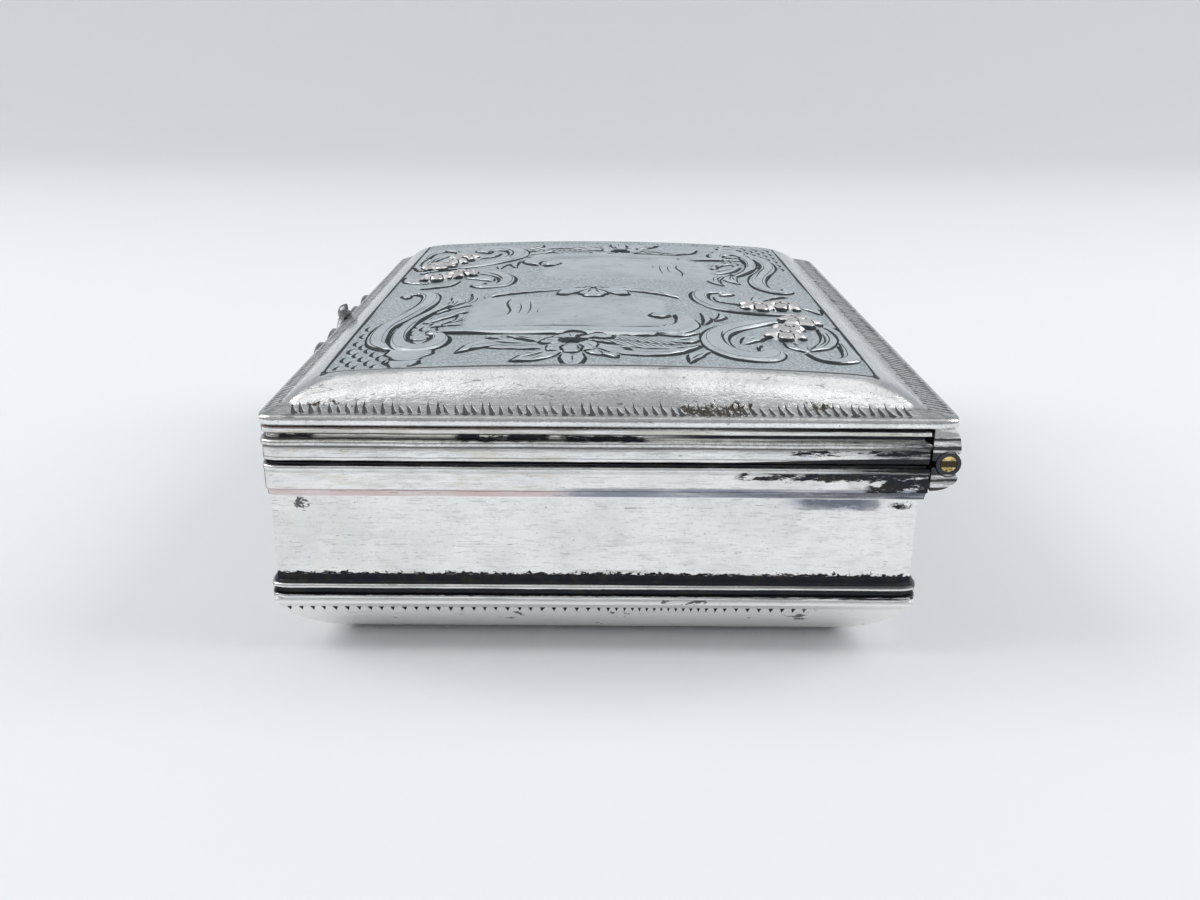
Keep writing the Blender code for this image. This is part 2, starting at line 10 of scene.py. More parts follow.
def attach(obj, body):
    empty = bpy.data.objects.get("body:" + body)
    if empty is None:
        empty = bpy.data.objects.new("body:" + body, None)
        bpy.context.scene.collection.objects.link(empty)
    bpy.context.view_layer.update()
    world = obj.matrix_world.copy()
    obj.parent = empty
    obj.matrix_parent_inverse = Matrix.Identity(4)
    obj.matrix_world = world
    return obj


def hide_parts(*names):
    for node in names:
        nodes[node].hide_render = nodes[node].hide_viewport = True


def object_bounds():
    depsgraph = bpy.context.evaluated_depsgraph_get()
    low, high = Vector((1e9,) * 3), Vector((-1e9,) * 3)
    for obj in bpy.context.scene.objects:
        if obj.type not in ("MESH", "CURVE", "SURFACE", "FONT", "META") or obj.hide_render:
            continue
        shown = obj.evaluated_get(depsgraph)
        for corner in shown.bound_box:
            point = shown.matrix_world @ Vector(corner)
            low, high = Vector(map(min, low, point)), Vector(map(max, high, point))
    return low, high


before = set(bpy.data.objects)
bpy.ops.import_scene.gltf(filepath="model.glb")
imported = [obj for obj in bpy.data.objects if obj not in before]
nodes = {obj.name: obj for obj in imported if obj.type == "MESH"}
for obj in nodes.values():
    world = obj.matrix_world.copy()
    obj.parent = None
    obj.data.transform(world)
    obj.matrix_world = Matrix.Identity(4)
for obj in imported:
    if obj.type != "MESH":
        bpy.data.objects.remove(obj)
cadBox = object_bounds()
mm = 0.001
plan = {"halfLength": 37.0, "halfWidth": 26.6}  # over the mouldings
hingeHeight = 17.03
panelEdge = {"end": 32.05, "left": -21.95, "right": 22.75}  # the chased panel's border


def deselectAll():
    if bpy.context.object and bpy.context.object.mode != "OBJECT":
        bpy.ops.object.mode_set(mode="OBJECT")
    bpy.ops.object.select_all(action="DESELECT")


def makeActive(obj):
    deselectAll()
    obj.select_set(True)
    bpy.context.view_layer.objects.active = obj


def editAll(obj):
    makeActive(obj)
    bpy.ops.object.mode_set(mode="EDIT")
    bpy.ops.mesh.select_all(action="SELECT")


def addObject(name, data):
    obj = bpy.data.objects.new(name, data)
    bpy.context.scene.collection.objects.link(obj)
    return obj


def pointsOf(mesh):
    points = np.empty(len(mesh.vertices) * 3)
    mesh.vertices.foreach_get("co", points)
    return points.reshape(-1, 3) / mm


def movePoints(mesh, points):
    mesh.vertices.foreach_set("co", (points * mm).ravel())
    mesh.update()


# a merged copy of a CAD node, to be refined in its place
def copyOf(nodeName, newName):
    mesh = nodes[nodeName].data.copy()
    mesh.name = newName
    obj = addObject(newName, mesh)
    makeActive(obj)
    if mesh.has_custom_normals:
        bpy.ops.mesh.customdata_custom_splitnormals_clear()
    editAll(obj)
    bpy.ops.mesh.remove_doubles(threshold=0.002 * mm)
    bpy.ops.mesh.tris_convert_to_quads(face_threshold=math.radians(2), shape_threshold=math.radians(170))
    bpy.ops.object.mode_set(mode="OBJECT")
    return obj


def smoothBy(obj, degrees):
    makeActive(obj)
    bpy.ops.object.shade_smooth_by_angle(angle=math.radians(degrees))


# the finished piece takes its finish, stands for its node and moves with its body
def settle(obj, nodeName, body, material, degrees=38):
    smoothBy(obj, degrees)
    obj.data.materials.clear()
    obj.data.materials.append(material)
    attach(obj, body)
    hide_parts(nodeName)
    return obj


everyWay = (1, 1, 1)
drawing = {"tree": None}  # the node tree that the helpers add to


def newMaterial(name):
    material = bpy.data.materials.new(name)
    material.use_nodes = True
    drawing["tree"] = material.node_tree
    return material, material.node_tree.nodes["Principled BSDF"]


def newNode(kind):
    return drawing["tree"].nodes.new("ShaderNode" + kind)


def feed(value, socket):
    if isinstance(value, bpy.types.NodeSocket):
        drawing["tree"].links.new(value, socket)
    else:
        socket.default_value = value


def maths(operation, a, b=0.0, clamp=False):
    step = newNode("Math")
    step.operation = operation
    step.use_clamp = clamp
    feed(a, step.inputs[0])
    feed(b, step.inputs[1])
    return step.outputs[0]


def plus(a, b, clamp=False):
    return maths("ADD", a, b, clamp)


def minus(a, b):
    return maths("SUBTRACT", a, b)


def sizeOf(a):
    return maths("ABSOLUTE", a)


def product(*masks):
    result = masks[0]
    for mask in masks[1:]:
        result = maths("MULTIPLY", result, mask)
    return result


def remap(value, fromMin, fromMax, toMin=0.0, toMax=1.0):
    step = newNode("MapRange")
    step.interpolation_type = "SMOOTHSTEP"
    feed(value, step.inputs["Value"])
    for socket, number in (("From Min", fromMin), ("From Max", fromMax), ("To Min", toMin), ("To Max", toMax)):
        feed(number, step.inputs[socket])
    return step.outputs[0]


# object coordinates in millimetres, turned and stretched
def millimetres(scale=everyWay, turn=(0, 0, 0)):
    source = newNode("TexCoord")
    step = newNode("Mapping")
    step.inputs["Rotation"].default_value = [math.radians(v) for v in turn]
    step.inputs["Scale"].default_value = [v * 1000 for v in scale]
    feed(source.outputs["Object"], step.inputs["Vector"])
    return step.outputs[0]


# the vector may be a stretch, which stands for object coordinates stretched so
def noise(vector, scale, detail=3.0, roughness=0.55):
    step = newNode("TexNoise")
    feed(millimetres(vector) if isinstance(vector, tuple) else vector, step.inputs["Vector"])
    for socket, number in (("Scale", scale), ("Detail", detail), ("Roughness", roughness)):
        step.inputs[socket].default_value = number
    return step.outputs["Fac"]


def cells(vector, scale):
    step = newNode("TexVoronoi")
    feed(vector, step.inputs["Vector"])
    step.inputs["Scale"].default_value = scale
    return step.outputs["Distance"]


def axisOf(vector, axis):
    step = newNode("SeparateXYZ")
    feed(vector, step.inputs[0])
    return step.outputs[axis]


def acrossOf(place):
    return axisOf(place, 1)


def heightOf(place):
    return axisOf(place, 2)


def mixed(factor, a, b):
    step = newNode("Mix")
    step.data_type = "RGBA"
    feed(factor, step.inputs[0])
    feed((*a, 1.0) if isinstance(a, tuple) else a, step.inputs[6])
    feed((*b, 1.0) if isinstance(b, tuple) else b, step.inputs[7])
    return step.outputs[2]


def attribute(name):
    step = newNode("Attribute")
    step.attribute_name = name
    return step.outputs["Fac"]


def bump(height, distance, below=None):
    step = newNode("Bump")
    step.inputs["Strength"].default_value = 1.0
    step.inputs["Distance"].default_value = distance * mm
    feed(height, step.inputs["Height"])
    if below is not None:
        feed(below, step.inputs["Normal"])
    return step.outputs[0]


# 1 between two values, with soft edges
def band(value, low, high, soft=0.05):
    up = remap(value, low - soft, low + soft)
    down = remap(value, high - soft, high + soft, 1.0, 0.0)
    return product(up, down)


def strongest(*masks):
    result = masks[0]
    for mask in masks[1:]:
        result = maths("MAXIMUM", result, mask)
    return result


silver = {
    "bright": (0.915, 0.910, 0.90),
    "worn": (0.80, 0.805, 0.80),
    "film": (0.46, 0.45, 0.43),
    "black": (0.013, 0.016, 0.024),
    "olive": (0.032, 0.030, 0.024),
    "pink": (0.66, 0.52, 0.52),
    "slate": (0.27, 0.29, 0.34),
    "thumb": (0.13, 0.135, 0.15),
}


# fine lines drawn along a grain: 1 where a line runs
def grainLines(grain, scale, low, high):
    return remap(noise(grain, scale, 5, 0.72), low, high)


# hairline scratches: the thin contour lines of a stretched noise, kept in patches
def hairlines(stretch, scale, turn, patch, width=0.010):
    field = noise(millimetres(stretch, turn), scale, 1, 0.5)
    line = remap(sizeOf(minus(field, 0.5)), width, width * 0.3)
    where = remap(noise(millimetres(everyWay, turn), 0.62, 3), patch, patch + 0.05)
    return product(line, where)


# small ragged blots, gathered in groups
def blots(stretch, scale, rarity, groups):
    spot = remap(noise(stretch, scale, 3, 0.62), rarity, rarity + 0.025)
    where = remap(noise(everyWay, 0.45, 3), groups, groups + 0.06)
    return product(spot, where)


# 1 on the two short ends, 0 on the long sides
def onEnds(place):
    x, y = (sizeOf(axisOf(place, axis)) for axis in range(2))
    return maths("GREATER_THAN", minus(x, 10.4), y)


# silver with handling marks: black() says where it is tarnished black, and on the lid and mouth mouldings also where
# painted shadow lies at the parting; tints() lists thinner films, and also the mouth lip's painted highlight and the
# base's painted brightening
def silverFinish(name, black, tintsAndPaintedLight, grain, roughness=0.16, film=0.45, dents=0.06, streaks=0.65):
    material, shader = newMaterial(name)
    place = millimetres()
    clouds = remap(noise(place, 0.16, 4), 0.38, 0.66)
    specks = noise(place, 2.4, 7, 0.72)
    colour = mixed(clouds, silver["bright"], silver["worn"])
    softGrain = tuple(0.35 if v < 1 else 1 for v in grain)
    thinFilm = product(remap(noise(softGrain, 0.8, 7, 0.70), 0.48, 0.74), film)
    colour = mixed(thinFilm, colour, silver["film"])
    fineLines = grainLines(grain, 7.0, 0.50, 0.70)
    broadLines = grainLines(grain, 2.3, 0.50, 0.68)
    colour = mixed(product(fineLines, streaks), colour, silver["film"])
    colour = mixed(product(broadLines, 0.5 * streaks), colour, silver["film"])
    speckle = product(remap(noise(place, 5.5, 4, 0.7), 0.50, 0.68), 0.20)
    colour = mixed(speckle, colour, silver["film"])
    for mask, tint in tintsAndPaintedLight(place) if tintsAndPaintedLight else ():
        colour = mixed(mask, colour, tint)
    ends = onEnds(place)
    scratches = strongest(
        product(hairlines((1, 0.010, 1), 1.9, (3, 0, 2), 0.53, 0.006), ends, 0.30),
        product(hairlines((0.010, 1, 1), 1.9, (2, 3, 0), 0.53, 0.006), minus(1.0, ends), 0.30),
        product(hairlines((1, 0.02, 1), 0.9, (24, 0, 8), 0.60, 0.006), 0.5),
        product(hairlines((1, 0.02, 1), 0.8, (-32, -6, 12), 0.61, 0.006), 0.4),
    )
    marks = strongest(
        scratches,
        product(blots(everyWay, 3.2, 0.705, 0.52), 0.75),
        product(blots(softGrain, 6.5, 0.73, 0.54), 0.35),
    )
    dark = black(place) if black else 0.0
    allDark = strongest(marks, dark)
    blackness = mixed(remap(noise(place, 0.55, 6, 0.7), 0.46, 0.66), silver["black"], silver["olive"])
    feed(mixed(allDark, colour, blackness), shader.inputs["Base Color"])
    feed(remap(allDark, 0.0, 1.0, 1.0, 0.6), shader.inputs["Metallic"])
    shine = plus(product(specks, 0.16), roughness - 0.07)
    shine = plus(shine, product(fineLines, 0.12))
    feed(plus(shine, product(allDark, 0.22), True), shader.inputs["Roughness"])
    normal = bump(noise(place, 0.22, 2, 0.4), dents)
    normal = bump(noise(grain, 1.3, 3, 0.5), 0.016, normal)
    surface = minus(product(specks, 0.5), product(fineLines, 0.4))
    surface = minus(surface, product(allDark, 0.8))
    normal = bump(surface, 0.013, normal)
    feed(normal, shader.inputs["Normal"])
    return material


# 0 at one place along the y axis and 1 at the other
def alongY(place, start, full):
    return remap(acrossOf(place), start, full)


def ragged(amount, scale=1.6, stretch=everyWay):
    wobble = noise(stretch, scale, 7, 0.72)
    return product(minus(wobble, 0.5), amount)


# a smear of tarnish on an upright face: ragged edges, drawn out lengthwise, with gaps
def smear(place, lowY, highY, lowZ, highZ, gaps=0.46, wobbleY=3.0):
    y = plus(acrossOf(place), ragged(wobbleY, 0.8, (1, 0.5, 1)))
    z = plus(heightOf(place), ragged(0.5, 1.6, (1, 0.35, 1)))
    gappy = remap(noise((1, 0.26, 1), 1.6, 7, 0.74), gaps - 0.03, gaps + 0.02)
    near = remap(axisOf(place, 0), 20.0, 30.0)
    return product(band(y, lowY, highY, 0.4), band(z, lowZ, highZ, 0.04), gappy, near)


# where each finish is dark or tinted: low and high z in millimetres, and the softness of the edge
footBands = {
    "cove": (6.40, 7.9, 0.02),
    "spikes": (5.0, 7.12, 0.02),
    "quirk": (5.42, 6.08, 0.03),
    "lowBead": (5.25, 5.5, 0.05),
    "topBead": (5.9, 6.10, 0.04),
    "overBead": (6.28, 6.45, 0.03),
}


def footTarnish(place):
    z = plus(heightOf(place), ragged(0.26, 1.9, (1, 0.6, 1)))
    spiky = plus(heightOf(place), ragged(0.30, 1.4, (1, 0.8, 0.3)))
    cove = product(band(heightOf(place), *footBands["cove"]), band(spiky, *footBands["spikes"]))
    quirk = band(z, *footBands["quirk"])
    plain = heightOf(place)
    near = alongY(place, 2.0, 22.0)
    streak = grainLines((1, 0.05, 1), 5.0, 0.40, 0.50)
    lowBead = product(band(plain, *footBands["lowBead"]), near, streak)
    topBead = product(band(plain, *footBands["topBead"]), near, streak, 0.9)
    topBead = strongest(topBead, product(band(plain, *footBands["overBead"]), near, 0.9))
    return strongest(cove, quirk, lowBead, topBead)


wall = {
    "foot": (3.0, 7.20, 0.02),
    "cornerY": (-26.02, -25.90),
    "cornerX": (35.7, 36.2),
    "outside": (35.9, 25.5),  # between the wall's inner and outer faces
    "spot": (-23.45, 13.3, 0.80, 0.50),  # y, z and the reach along both
    "blob": (24.6, 13.35, 0.95, 0.36),
    "haze": (16.6, 22.8, 12.9, 14.2, 0.44),
}


def wallTarnish(place):
    rough = plus(ragged(0.7, 0.16, everyWay), ragged(1.5, 3.0, (1, 0.6, 1)))
    z = plus(heightOf(place), rough)
    foot = band(z, *wall["foot"])
    ragline = remap(noise((1, 0.7, 1), 2.3, 5, 0.7), 0.47, 0.53)
    spot = product(spotAt(place, *wall["spot"]), ragline, 0.85)
    blobEdge = remap(noise((1, 0.5, 1), 2.6, 4, 0.6), 0.60, 0.42)
    blob = product(spotAt(place, *wall["blob"]), blobEdge)
    haze = product(smear(place, *wall["haze"]), 0.40)
    corner = product(band(acrossOf(place), *wall["cornerY"], 0.02), remap(axisOf(place, 0), *wall["cornerX"]))
    edge = product(corner, remap(noise(place, 1.8, 5, 0.7), 0.50, 0.56), 0.8)
    farOut = [sizeOf(axisOf(place, axis)) for axis in range(2)]
    outside = strongest(*(maths("GREATER_THAN", value, reach) for value, reach in zip(farOut, wall["outside"])))
    return product(strongest(foot, spot, blob, haze, edge), outside)


# a ragged dark spot on an upright face, centred on y and z
def spotAt(place, y, z, reachY, reachZ):
    dy = maths("DIVIDE", minus(acrossOf(place), y), reachY)
    dz = maths("DIVIDE", minus(heightOf(place), z), reachZ)
    away = maths("SQRT", plus(product(dy, dy), product(dz, dz)))
    away = plus(away, ragged(2.0, 1.7))
    near = remap(axisOf(place, 0), 20.0, 30.0)
    return product(remap(away, 1.0, 0.85), near)


def wallTints(place):
    lowEdge = plus(heightOf(place), ragged(1.6, 0.5, (1, 0.4, 1)))
    top = product(band(lowEdge, 13.2, 14.6, 0.3), band(acrossOf(place), 16.0, 22.6, 1.6), 0.8)
    warm = product(alongY(place, -8, -26), remap(noise(place, 0.3, 4), 0.4, 0.65), 0.25)
    middle = (alongY(place, 20.0, 2.0), alongY(place, -6.0, 2.0), remap(heightOf(place), 12.0, 8.0))
    worn = product(grainLines((1, 0.10, 1), 1.5, 0.50, 0.66), *middle, 0.55)
    return ((top, (0.18, 0.21, 0.29)), (warm, (0.80, 0.73, 0.66)), (worn, (0.42, 0.40, 0.37)))


mouthBands = {
    "rebate": (16.61, 16.95, 0.03),
    "underBead": (16.02, 16.22, 0.04),
    "topRight": (16.2, 16.9, 0.05),
    "cove": (14.0, 14.6, 0.1),
}


def mouthTarnishAndShadow(place):
    plain = heightOf(place)
    z = plus(plain, ragged(0.16, 1.2, (1, 0.3, 1)))
    # dark band along the body's top edge at the parting: partly tarnish in the gap, partly painted shadow under the lid
    rebate = band(z, *mouthBands["rebate"])
    near = alongY(place, 10.0, 22.0)
    lines = grainLines((1, 0.05, 1), 4.2, 0.42, 0.52)
    underBead = product(band(z, *mouthBands["underBead"]), strongest(product(near, 0.95), 0.18))
    topRight = product(band(z, *mouthBands["topRight"]), alongY(place, 17.0, 22.0), remap(lines, 0.0, 1.0, 0.65, 1.0))
    blotch = smear(place, 11.5, 27.5, 15.62, 16.2, 0.47)
    lower = smear(place, 15.0, 22.0, 15.35, 15.75, 0.53)
    corner = smear(place, 21.6, 27.8, 14.55, 15.95, 0.44, 2.2)
    cove = product(band(z, *mouthBands["cove"]), alongY(place, 4.0, 24.0), lines, 0.65)
    return strongest(rebate, underBead, topRight, blotch, lower, corner, cove)


mouthTintBands = {
    "face": (14.7, 16.2, 0.2),
    "pinkLine": (14.02, 14.68, 0.05),
    "slateLine": (14.06, 14.86, 0.06),
    # the lip band is a painted highlight, not a tint of the metal
    "lip": (13.8, 14.04, 0.02),
}


def mouthTintsAndHighlight(place):
    plain = heightOf(place)
    wobble = plus(acrossOf(place), ragged(7.0, 0.3))
    left = remap(wobble, -2.0, -4.0)
    right = remap(wobble, -4.0, -2.0)
    soft = remap(noise((1, 0.12, 1), 1.6, 4), 0.30, 0.62, 0.55, 1.0)
    warm = product(left, band(plain, *mouthTintBands["face"]), remap(noise((1, 0.3, 1), 0.9, 5), 0.46, 0.66), 0.45)
    return (
        (warm, (0.66, 0.61, 0.52)),
        (product(band(plain, *mouthTintBands["pinkLine"]), left, soft), silver["pink"]),
        (product(band(plain, *mouthTintBands["slateLine"]), right, soft), silver["slate"]),
        # a near white line on the moulding's lower lip: a painted highlight
        (band(plain, *mouthTintBands["lip"]), (0.97, 0.97, 0.97)),
    )


lidBands = {
    "quirkTop": (19.80, 20.3, 0.03),
    "quirk": (19.64, 20.3, 0.04),
    "cove": (18.76, 19.34, 0.05),
    "coveMiddle": (18.92, 19.20, 0.04),
    "coveFoot": (18.74, 18.86, 0.03),
    "bead": (18.24, 18.74, 0.05),
    "underBead": (18.12, 18.26, 0.02),
    "face": (17.5, 18.25, 0.1),
    "faceRight": (17.2, 18.25, 0.1),
    "footLine": (17.28, 17.36, 0.02),
}


def lidTarnishAndShadow(place):
    plain = heightOf(place)
    z = plus(plain, ragged(0.16, 1.3, (1, 0.3, 1)))
    near = product(alongY(place, 8.0, 25.0), 0.65)
    farther = alongY(place, 18.0, 27.0)
    lines = grainLines((1, 0.05, 1), 4.2, 0.40, 0.52)
    quirkTop = band(z, *lidBands["quirkTop"])
    quirk = product(band(z, *lidBands["quirk"]), strongest(alongY(place, 2.0, 20.0), 0.25))
    cove = band(z, *lidBands["cove"])
    patches = smear(place, -11.0, -3.4, 18.70, 19.22, 0.42)
    patches = strongest(patches, smear(place, -25.0, -22.0, 18.8, 19.15, 0.46, 1.0))
    patches = strongest(patches, smear(place, -2.5, 4.0, 18.7, 19.1, 0.47))
    coveDark = product(cove, product(near, lines))
    coveFull = product(band(z, *lidBands["coveMiddle"]), alongY(place, 1.0, 9.0))
    coveFoot = product(band(z, *lidBands["coveFoot"]), alongY(place, 8.0, -4.0), 0.85)
    bead = product(band(z, *lidBands["bead"]), farther, lines)
    underBead = product(band(z, *lidBands["underBead"]), 0.6)
    face = product(band(z, *lidBands["face"]), alongY(place, 19.0, 26.0), lines)
    faceRight = product(band(z, *lidBands["faceRight"]), alongY(place, 21.5, 25.0), remap(lines, 0.0, 1.0, 0.55, 1.0))
    faceSpots = smear(place, 15.5, 26.0, 17.65, 18.12, 0.50)
    footLine = product(band(z, *lidBands["footLine"]), 0.5)
    # dark band along the lid moulding's foot at the parting: partly tarnish in the gap, partly painted shadow under the
    # lid's edge
    foot = band(plus(z, product(alongY(place, 8.0, 24.0), -0.42)), 16.0, 17.05, 0.04)
    coves = strongest(quirkTop, quirk, coveDark, coveFull, patches, coveFoot)
    return strongest(coves, bead, underBead, face, faceRight, faceSpots, footLine, foot)


lidTintBands = {
    "cove": (18.74, 19.40, 0.06),
    "fillet": (19.3, 19.7, 0.05),
    "quirk": (19.66, 20.0, 0.05),
    "bead": (18.2, 18.74, 0.05),
    "face": (17.1, 18.2, 0.15),
}


def lidTints(place):
    plain = heightOf(place)
    left = alongY(place, 6.0, -4.0)
    cove = product(band(plain, *lidTintBands["cove"]), strongest(left, 0.3), 0.6)
    fillet = product(band(plain, *lidTintBands["fillet"]), remap(noise((1, 0.2, 1), 1.2, 4), 0.4, 0.6), 0.6)
    quirk = product(band(plain, *lidTintBands["quirk"]), left, 0.8)
    bead = product(band(plain, *lidTintBands["bead"]), remap(noise(place, 3.4, 5, 0.7), 0.44, 0.62), 0.55)
    warm = product(left, band(plain, *lidTintBands["face"]), remap(noise((1, 0.3, 1), 0.9, 5), 0.44, 0.64), 0.5)
    return (
        (cove, (0.44, 0.42, 0.34)),
        (fillet, (0.50, 0.47, 0.40)),
        (quirk, (0.40, 0.30, 0.28)),
        (bead, (0.45, 0.43, 0.38)),
        (warm, (0.64, 0.59, 0.49)),
    )


hingeBands = ((16.1, 18.0, 0.10), (18.95, 19.2, 0.06), (18.15, 18.5, 0.06), (15.55, 15.8, 0.06), (14.7, 15.1, 0.06))


def hingeTarnish(place):
    z = plus(heightOf(place), ragged(0.5, 0.9, (1, 0.4, 1)))
    lines = grainLines((0.5, 0.14, 1), 2.6, 0.42, 0.54)
    return product(strongest(*(band(z, *limits) for limits in hingeBands), product(lines, 0.5)), 0.95)


base = {
    "nickPitch": 0.95,
    "nickTop": 4.06,
    "nickFoot": 3.50,
    "nickHalf": 0.21,
    "lineHeight": 4.10,
    "lineHalf": 0.015,
    "lineStrength": 0.15,
    # paler silver for the base: a painted brightening for the brighter reflection it shows
    "paintedBrightness": (0.99, 0.98, 0.96),
}


# down-pointing nicks round the base, told off along each side by its own axis
def baseNicks(place):
    x, y, z = (axisOf(place, axis) for axis in range(3))
    ends = maths("GREATER_THAN", minus(sizeOf(x), 10.4), sizeOf(y))
    along = plus(product(y, ends), product(x, minus(1.0, ends)))
    along = plus(along, remap(along, -0.5, 11.5, 0.0, 4.8))  # closer set right of the middle
    along = plus(along, ragged(0.5, 0.35))
    share = maths("FRACT", plus(maths("DIVIDE", along, base["nickPitch"]), 100.0))
    away = product(sizeOf(minus(share, 0.5)), base["nickPitch"])
    level = plus(z, ragged(0.34, 0.30))
    wide = product(remapStraight(level, base["nickFoot"], base["nickTop"]), base["nickHalf"])
    inside = remap(minus(wide, away), -0.01, 0.02)
    worn = product(remap(x, 20.0, 30.0), remap(plus(y, ragged(3.0, 0.5)), 17.0, 19.0))
    return product(inside, band(z, base["nickFoot"] - 0.1, base["nickTop"], 0.02), minus(1.0, worn))


def remapStraight(value, low, high):
    return maths("DIVIDE", minus(value, low), high - low, True)


def baseTarnish(place):
    low, high = (base["lineHeight"] + sign * base["lineHalf"] for sign in (-1, 1))
    line = product(band(heightOf(place), low, high, base["lineHalf"]), base["lineStrength"])
    stains = remap(noise((1, 0.5, 1), 0.55, 5, 0.6), 0.66, 0.69)
    return strongest(baseNicks(place), line, product(stains, 0.8))


lengthwise = (0.07, 1, 1)
crosswise = (1, 0.07, 1)
rubbed = {"roughness": 0.20, "film": 0.30, "dents": 0.09, "streaks": 0.25}
brushed = {"roughness": 0.50, "film": 0.1, "streaks": 0.1}
wallSilver = silverFinish("wallSilver", wallTarnish, wallTints, (0.1, 0.1, 1), **rubbed)
footSilverLong = silverFinish("footSilverLong", footTarnish, None, lengthwise)
footSilverShort = silverFinish("footSilverShort", footTarnish, None, crosswise)
mouthSilverLong = silverFinish("mouthSilverLong", mouthTarnishAndShadow, mouthTintsAndHighlight, lengthwise)
mouthSilverShort = silverFinish("mouthSilverShort", mouthTarnishAndShadow, mouthTintsAndHighlight, crosswise)
lidSideSilverLong = silverFinish("lidSideSilverLong", lidTarnishAndShadow, lidTints, lengthwise)
lidSideSilverShort = silverFinish("lidSideSilverShort", lidTarnishAndShadow, lidTints, crosswise)
hingeSilver = silverFinish("hingeSilver", hingeTarnish, None, lengthwise, roughness=0.24)
# the base is tinted paler than the other silver: a painted brightening that stands in for the brighter reflection it
# shows
baseSilver = silverFinish("baseSilver", baseTarnish, lambda place: ((0.95, base["paintedBrightness"]),), everyWay, **brushed)
bezelSilver = silverFinish("bezelSilver", None, None, lengthwise, roughness=0.24, film=0.6)
thumbSilver = silverFinish("thumbSilver", None, lambda place: ((0.85, silver["thumb"]),), everyWay, roughness=0.26)

chased = {
    "satin": (0.74, 0.785, 0.805),
    "ground": (0.76, 0.81, 0.83),
    "line": (0.022, 0.030, 0.036),
    "nick": (0.055, 0.058, 0.062),
    "shoulder": (0.94, 0.94, 0.935),
    "flange": (0.46, 0.47, 0.47),
    "bloom": (0.84, 0.77, 0.75),
    "deposit": (0.040, 0.031, 0.018),
}


